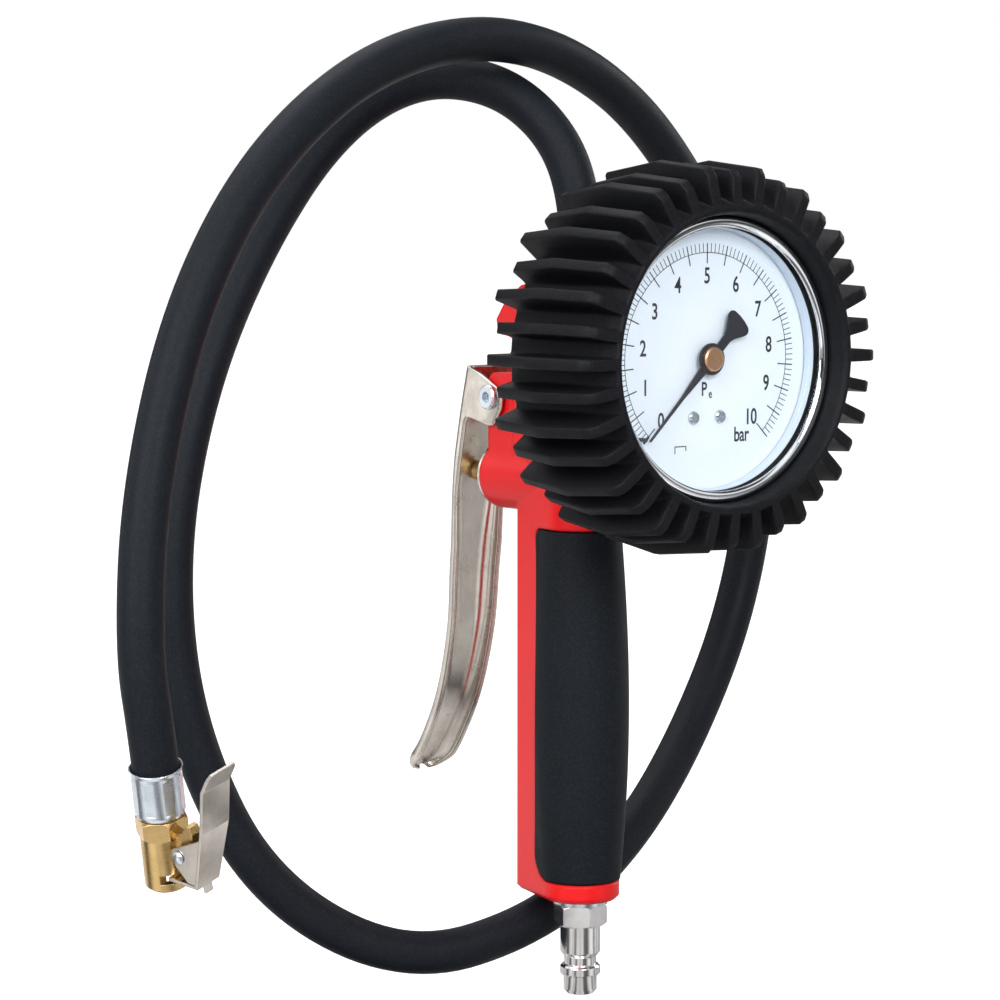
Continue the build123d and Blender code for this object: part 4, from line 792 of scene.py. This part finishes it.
class INFLATOR_OT_dial(bpy.types.Operator):
    """Prints the scale, its numerals and the marks on the dial."""
    bl_idname = "inflator.dial"
    bl_label = "Dial"

    def execute(self, context):
        look = context.scene.inflator_gauge
        ink = paint_finish("dial_ink", (0.012, 0.014, 0.022), 0.55)
        enamel = paint_finish("dial_enamel", tuple(look.dial_colour), 0.42)
        dress("dial_plate", enamel)
        whole = look.scale_end
        turn = (SCALE_START - SCALE_END) / whole
        boxes = []
        for k in range(whole * 10 + 1):
            angle = radians(SCALE_START - turn * k / 10)
            inner = look.long_tick if k % 5 == 0 else look.inner_line
            width = 0.00034 if k % 5 == 0 else 0.00022
            boxes.append(self.tick(angle, inner, look.outer_line, width))
        points, faces = self.joined(boxes)
        more_points, more_faces = self.arc(look.inner_line, 0.00020, SCALE_START, SCALE_END)
        faces = np.concatenate([faces, more_faces + len(points)])
        points = np.concatenate([points, more_points])
        # The thick mark at zero, and a small bracket under the two screws
        marks = [self.tick(radians(SCALE_START), look.long_tick + 0.003, look.outer_line, 0.0008)]
        marks += [self.bar(-0.0095, -0.0243, 0.0042, 0.00030),
                  self.bar(-0.0115, -0.0253, 0.00030, 0.0020),
                  self.bar(-0.0075, -0.0249, 0.00030, 0.0012)]
        more_points, more_faces = self.joined(marks)
        faces = np.concatenate([faces, more_faces + len(points)])
        points = np.concatenate([points, more_points])
        scale = add_mesh("dial_scale", points, faces, ink, False)
        pieces = [scale]
        for value in range(whole + 1):
            angle = radians(SCALE_START - turn * value)
            pieces.append(self.lettering(f"numeral_{value}", str(value),
                                         look.numeral_radius * cos(angle),
                                         look.numeral_radius * sin(angle), look.numeral_height,
                                         ink))
        pieces.append(self.lettering("unit", "bar", 0.0131, -0.0215, 0.0043, ink))
        pieces.append(self.lettering("class_mark", "P", -0.0009, -0.0083, 0.0040, ink))
        pieces.append(self.lettering("class_mark_small", "e", 0.0014, -0.0097, 0.0026, ink))
        for piece in pieces:
            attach(piece, "root")
        return {"FINISHED"}

    @staticmethod
    def place(x, z, lift=0.00003):
        """A point on the dial, given from its centre."""
        return DIAL_CENTRE.x + x, DIAL_FACE_Y - lift, DIAL_CENTRE.z + z

    def tick(self, angle, inner, outer, width):
        """A thin box along a radius of the dial."""
        way, across = np.array([cos(angle), sin(angle)]), np.array([-sin(angle), cos(angle)])
        corners = [way * r + across * w for r in (inner, outer) for w in (-width / 2, width / 2)]
        return [self.place(x, z, lift) for lift in (INK_LOW, INK_HIGH) for x, z in corners]

    def bar(self, x, z, width, height):
        """A thin upright box centred on a point of the dial."""
        corners = [(x + i * width / 2, z + j * height / 2) for i in (-1, 1) for j in (-1, 1)]
        return [self.place(*corner, lift) for lift in (INK_LOW, INK_HIGH) for corner in corners]

    def joined(self, boxes):
        """Points and faces of many boxes of eight corners each."""
        one = np.array([(0, 1, 3, 2), (4, 6, 7, 5), (0, 4, 5, 1), (2, 3, 7, 6), (0, 2, 6, 4),
                        (1, 5, 7, 3)])
        faces = (np.arange(len(boxes)) * 8)[:, None, None] + one[None]
        return np.array(boxes).reshape(-1, 3), faces.reshape(-1, 4)

    def arc(self, radius, width, start, end):
        """A thin flat band along an arc of the dial, with its four sides and both ends."""
        angle = np.radians(np.linspace(start, end, 181))
        rim = [(radius - width / 2, INK_LOW), (radius + width / 2, INK_LOW),
               (radius + width / 2, INK_HIGH), (radius - width / 2, INK_HIGH)]
        grid = np.stack([np.stack([DIAL_CENTRE.x + r * np.cos(angle),
                                   np.full_like(angle, DIAL_FACE_Y - lift),
                                   DIAL_CENTRE.z + r * np.sin(angle)], -1) for r, lift in rim], 1)
        faces = grid_faces(len(angle), 4, False, True)
        last = 4 * (len(angle) - 1)
        ends = np.array([(0, 1, 2, 3), (last + 3, last + 2, last + 1, last)])
        return grid.reshape(-1, 3), np.concatenate([faces, ends])

    def lettering(self, name, words, x, z, height, ink):
        """Upright raised print, centred on a point of the dial."""
        text = bpy.data.curves.new(name, "FONT")
        text.body = words
        text.size = height * TEXT_PER_CAPITAL
        text.align_x = "CENTER"
        text.extrude = 0.000012
        text.offset = height * 0.022
        text.resolution_u = 4
        text.space_character = 0.95
        holder = bpy.data.objects.new(name, text)
        bpy.context.scene.collection.objects.link(holder)
        bpy.context.view_layer.update()
        mesh = bpy.data.meshes.new_from_object(holder.evaluated_get(
            bpy.context.evaluated_depsgraph_get()))
        bpy.data.objects.remove(holder)
        at = self.place(x, z - height / 2)
        mesh.transform(Matrix.Translation(at) @ Matrix.Rotation(pi / 2, 4, "X")
                       @ Matrix.Diagonal((LETTER_WIDTH, 1, 1, 1)))
        mesh.materials.clear()
        mesh.materials.append(ink)
        made = bpy.data.objects.new(name, mesh)
        bpy.context.scene.collection.objects.link(made)
        return made


def dress(node, material):
    """Gives a CAD node its finish."""
    node = NODES[node]
    node.data.materials.clear()
    node.data.materials.append(material)


class INFLATOR_OT_body(bpy.types.Operator):
    """Finishes the red casting and the rubber grip."""
    bl_idname = "inflator.body"
    bl_label = "Casting and grip"

    def execute(self, context):
        look = context.scene.inflator_finish
        dress("body_casting", enamel_finish("red_enamel", tuple(look.red)))
        dress("grip_insert", rubber_finish("grip_rubber", tuple(look.grip), 1300.0, 0.00002, 0.62,
                                           0.0012))
        return {"FINISHED"}


class INFLATOR_OT_metalwork(bpy.types.Operator):
    """Finishes the plug, valve, screws, the chuck and the gauge's movement."""
    bl_idname = "inflator.metalwork"
    bl_label = "Metalwork"

    def execute(self, context):
        look = context.scene.inflator_finish
        nickel, zinc, brass = tuple(look.nickel), tuple(look.zinc), tuple(look.brass)
        finishes = {
            plated_finish("plug_nickel", (0.86, 0.85, 0.84), 0.12): ["inlet_plug"],
            plated_finish("clip_nickel", nickel, 0.15, edge=0.0003): ["clip_lever", "valve_cap"],
            plated_finish("zinc_plate", zinc, 0.2): [
                "inlet_washer", "pivot_screw", "pivot_nut", "dial_screws", "case_screws",
                "head_ferrule", "chuck_ferrule", "clip_pin"],
            plated_finish("spring_steel", (0.56, 0.57, 0.6), 0.25): [
                "valve_spring", "hairspring", "clip_spring"],
            turned_finish("chuck_brass", brass, 0.24): ["chuck_body", "hose_nipple"],
            turned_finish("movement_brass", (0.72, 0.53, 0.24), 0.28): [
                "inlet_filter", "valve_seat", "valve_stem", "valve_depressor",
                "movement_front_plate", "movement_back_plate", "movement_pillars", "sector_gear",
                "pointer_arbor", "stem_nut", "gauge_socket", "bourdon_tube", "tube_end",
                "tube_link"],
            turned_finish("cap_copper", (0.72, 0.42, 0.24), 0.3): ["pointer_cap"],
            paint_finish("pointer_black", (0.012, 0.013, 0.02), 0.4): ["pointer", "stop_pin"],
            paint_finish("case_lacquer", (0.02, 0.02, 0.023), 0.35): ["gauge_case"],
            rubber_finish("seal_rubber", (0.014, 0.014, 0.015), 1800.0, 0.00002, 0.5, 0.0002): [
                "stem_seal", "valve_poppet", "window_gasket", "chuck_seal"],
        }
        for material, nodes in finishes.items():
            for node in nodes:
                dress(node, material)
        return {"FINISHED"}


class INFLATOR_PT_panel(bpy.types.Panel):
    """Lists the steps and the settings in the sidebar."""
    bl_idname = "INFLATOR_PT_panel"
    bl_label = "Tyre inflator"
    bl_space_type = "VIEW_3D"
    bl_region_type = "UI"
    bl_category = "Inflator"

    def draw(self, context):
        column = self.layout.column()
        for step in OPERATORS:
            column.operator(step.bl_idname, text=step.bl_label)
        for name, group in SETTINGS.items():
            settings = getattr(context.scene, name)
            column.separator()
            for key in group.__annotations__:
                column.prop(settings, key)


OPERATORS = (INFLATOR_OT_stage, INFLATOR_OT_hose, INFLATOR_OT_body, INFLATOR_OT_lever,
             INFLATOR_OT_cover, INFLATOR_OT_gauge, INFLATOR_OT_dial, INFLATOR_OT_metalwork)
SETTINGS = {
    "inflator_stage": StageSettings,
    "inflator_hose": HoseSettings,
    "inflator_lever": LeverSettings,
    "inflator_cover": CoverSettings,
    "inflator_gauge": GaugeSettings,
    "inflator_finish": FinishSettings,
}


def register():
    """Adds the settings, the operators and the panel."""
    for name, group in SETTINGS.items():
        bpy.utils.register_class(group)
        setattr(bpy.types.Scene, name, PointerProperty(type=group))
    for one in (*OPERATORS, INFLATOR_PT_panel):
        bpy.utils.register_class(one)


def unregister():
    """Takes them away again."""
    for one in (INFLATOR_PT_panel, *reversed(OPERATORS)):
        bpy.utils.unregister_class(one)
    for name, group in SETTINGS.items():
        delattr(bpy.types.Scene, name)
        bpy.utils.unregister_class(group)


def main():
    """Builds the whole object."""
    register()
    bpy.ops.inflator.stage()
    bpy.ops.inflator.hose()
    bpy.ops.inflator.body()
    bpy.ops.inflator.lever()
    bpy.ops.inflator.cover()
    bpy.ops.inflator.gauge()
    bpy.ops.inflator.dial()
    bpy.ops.inflator.metalwork()


if __name__ == "__main__":
    main()
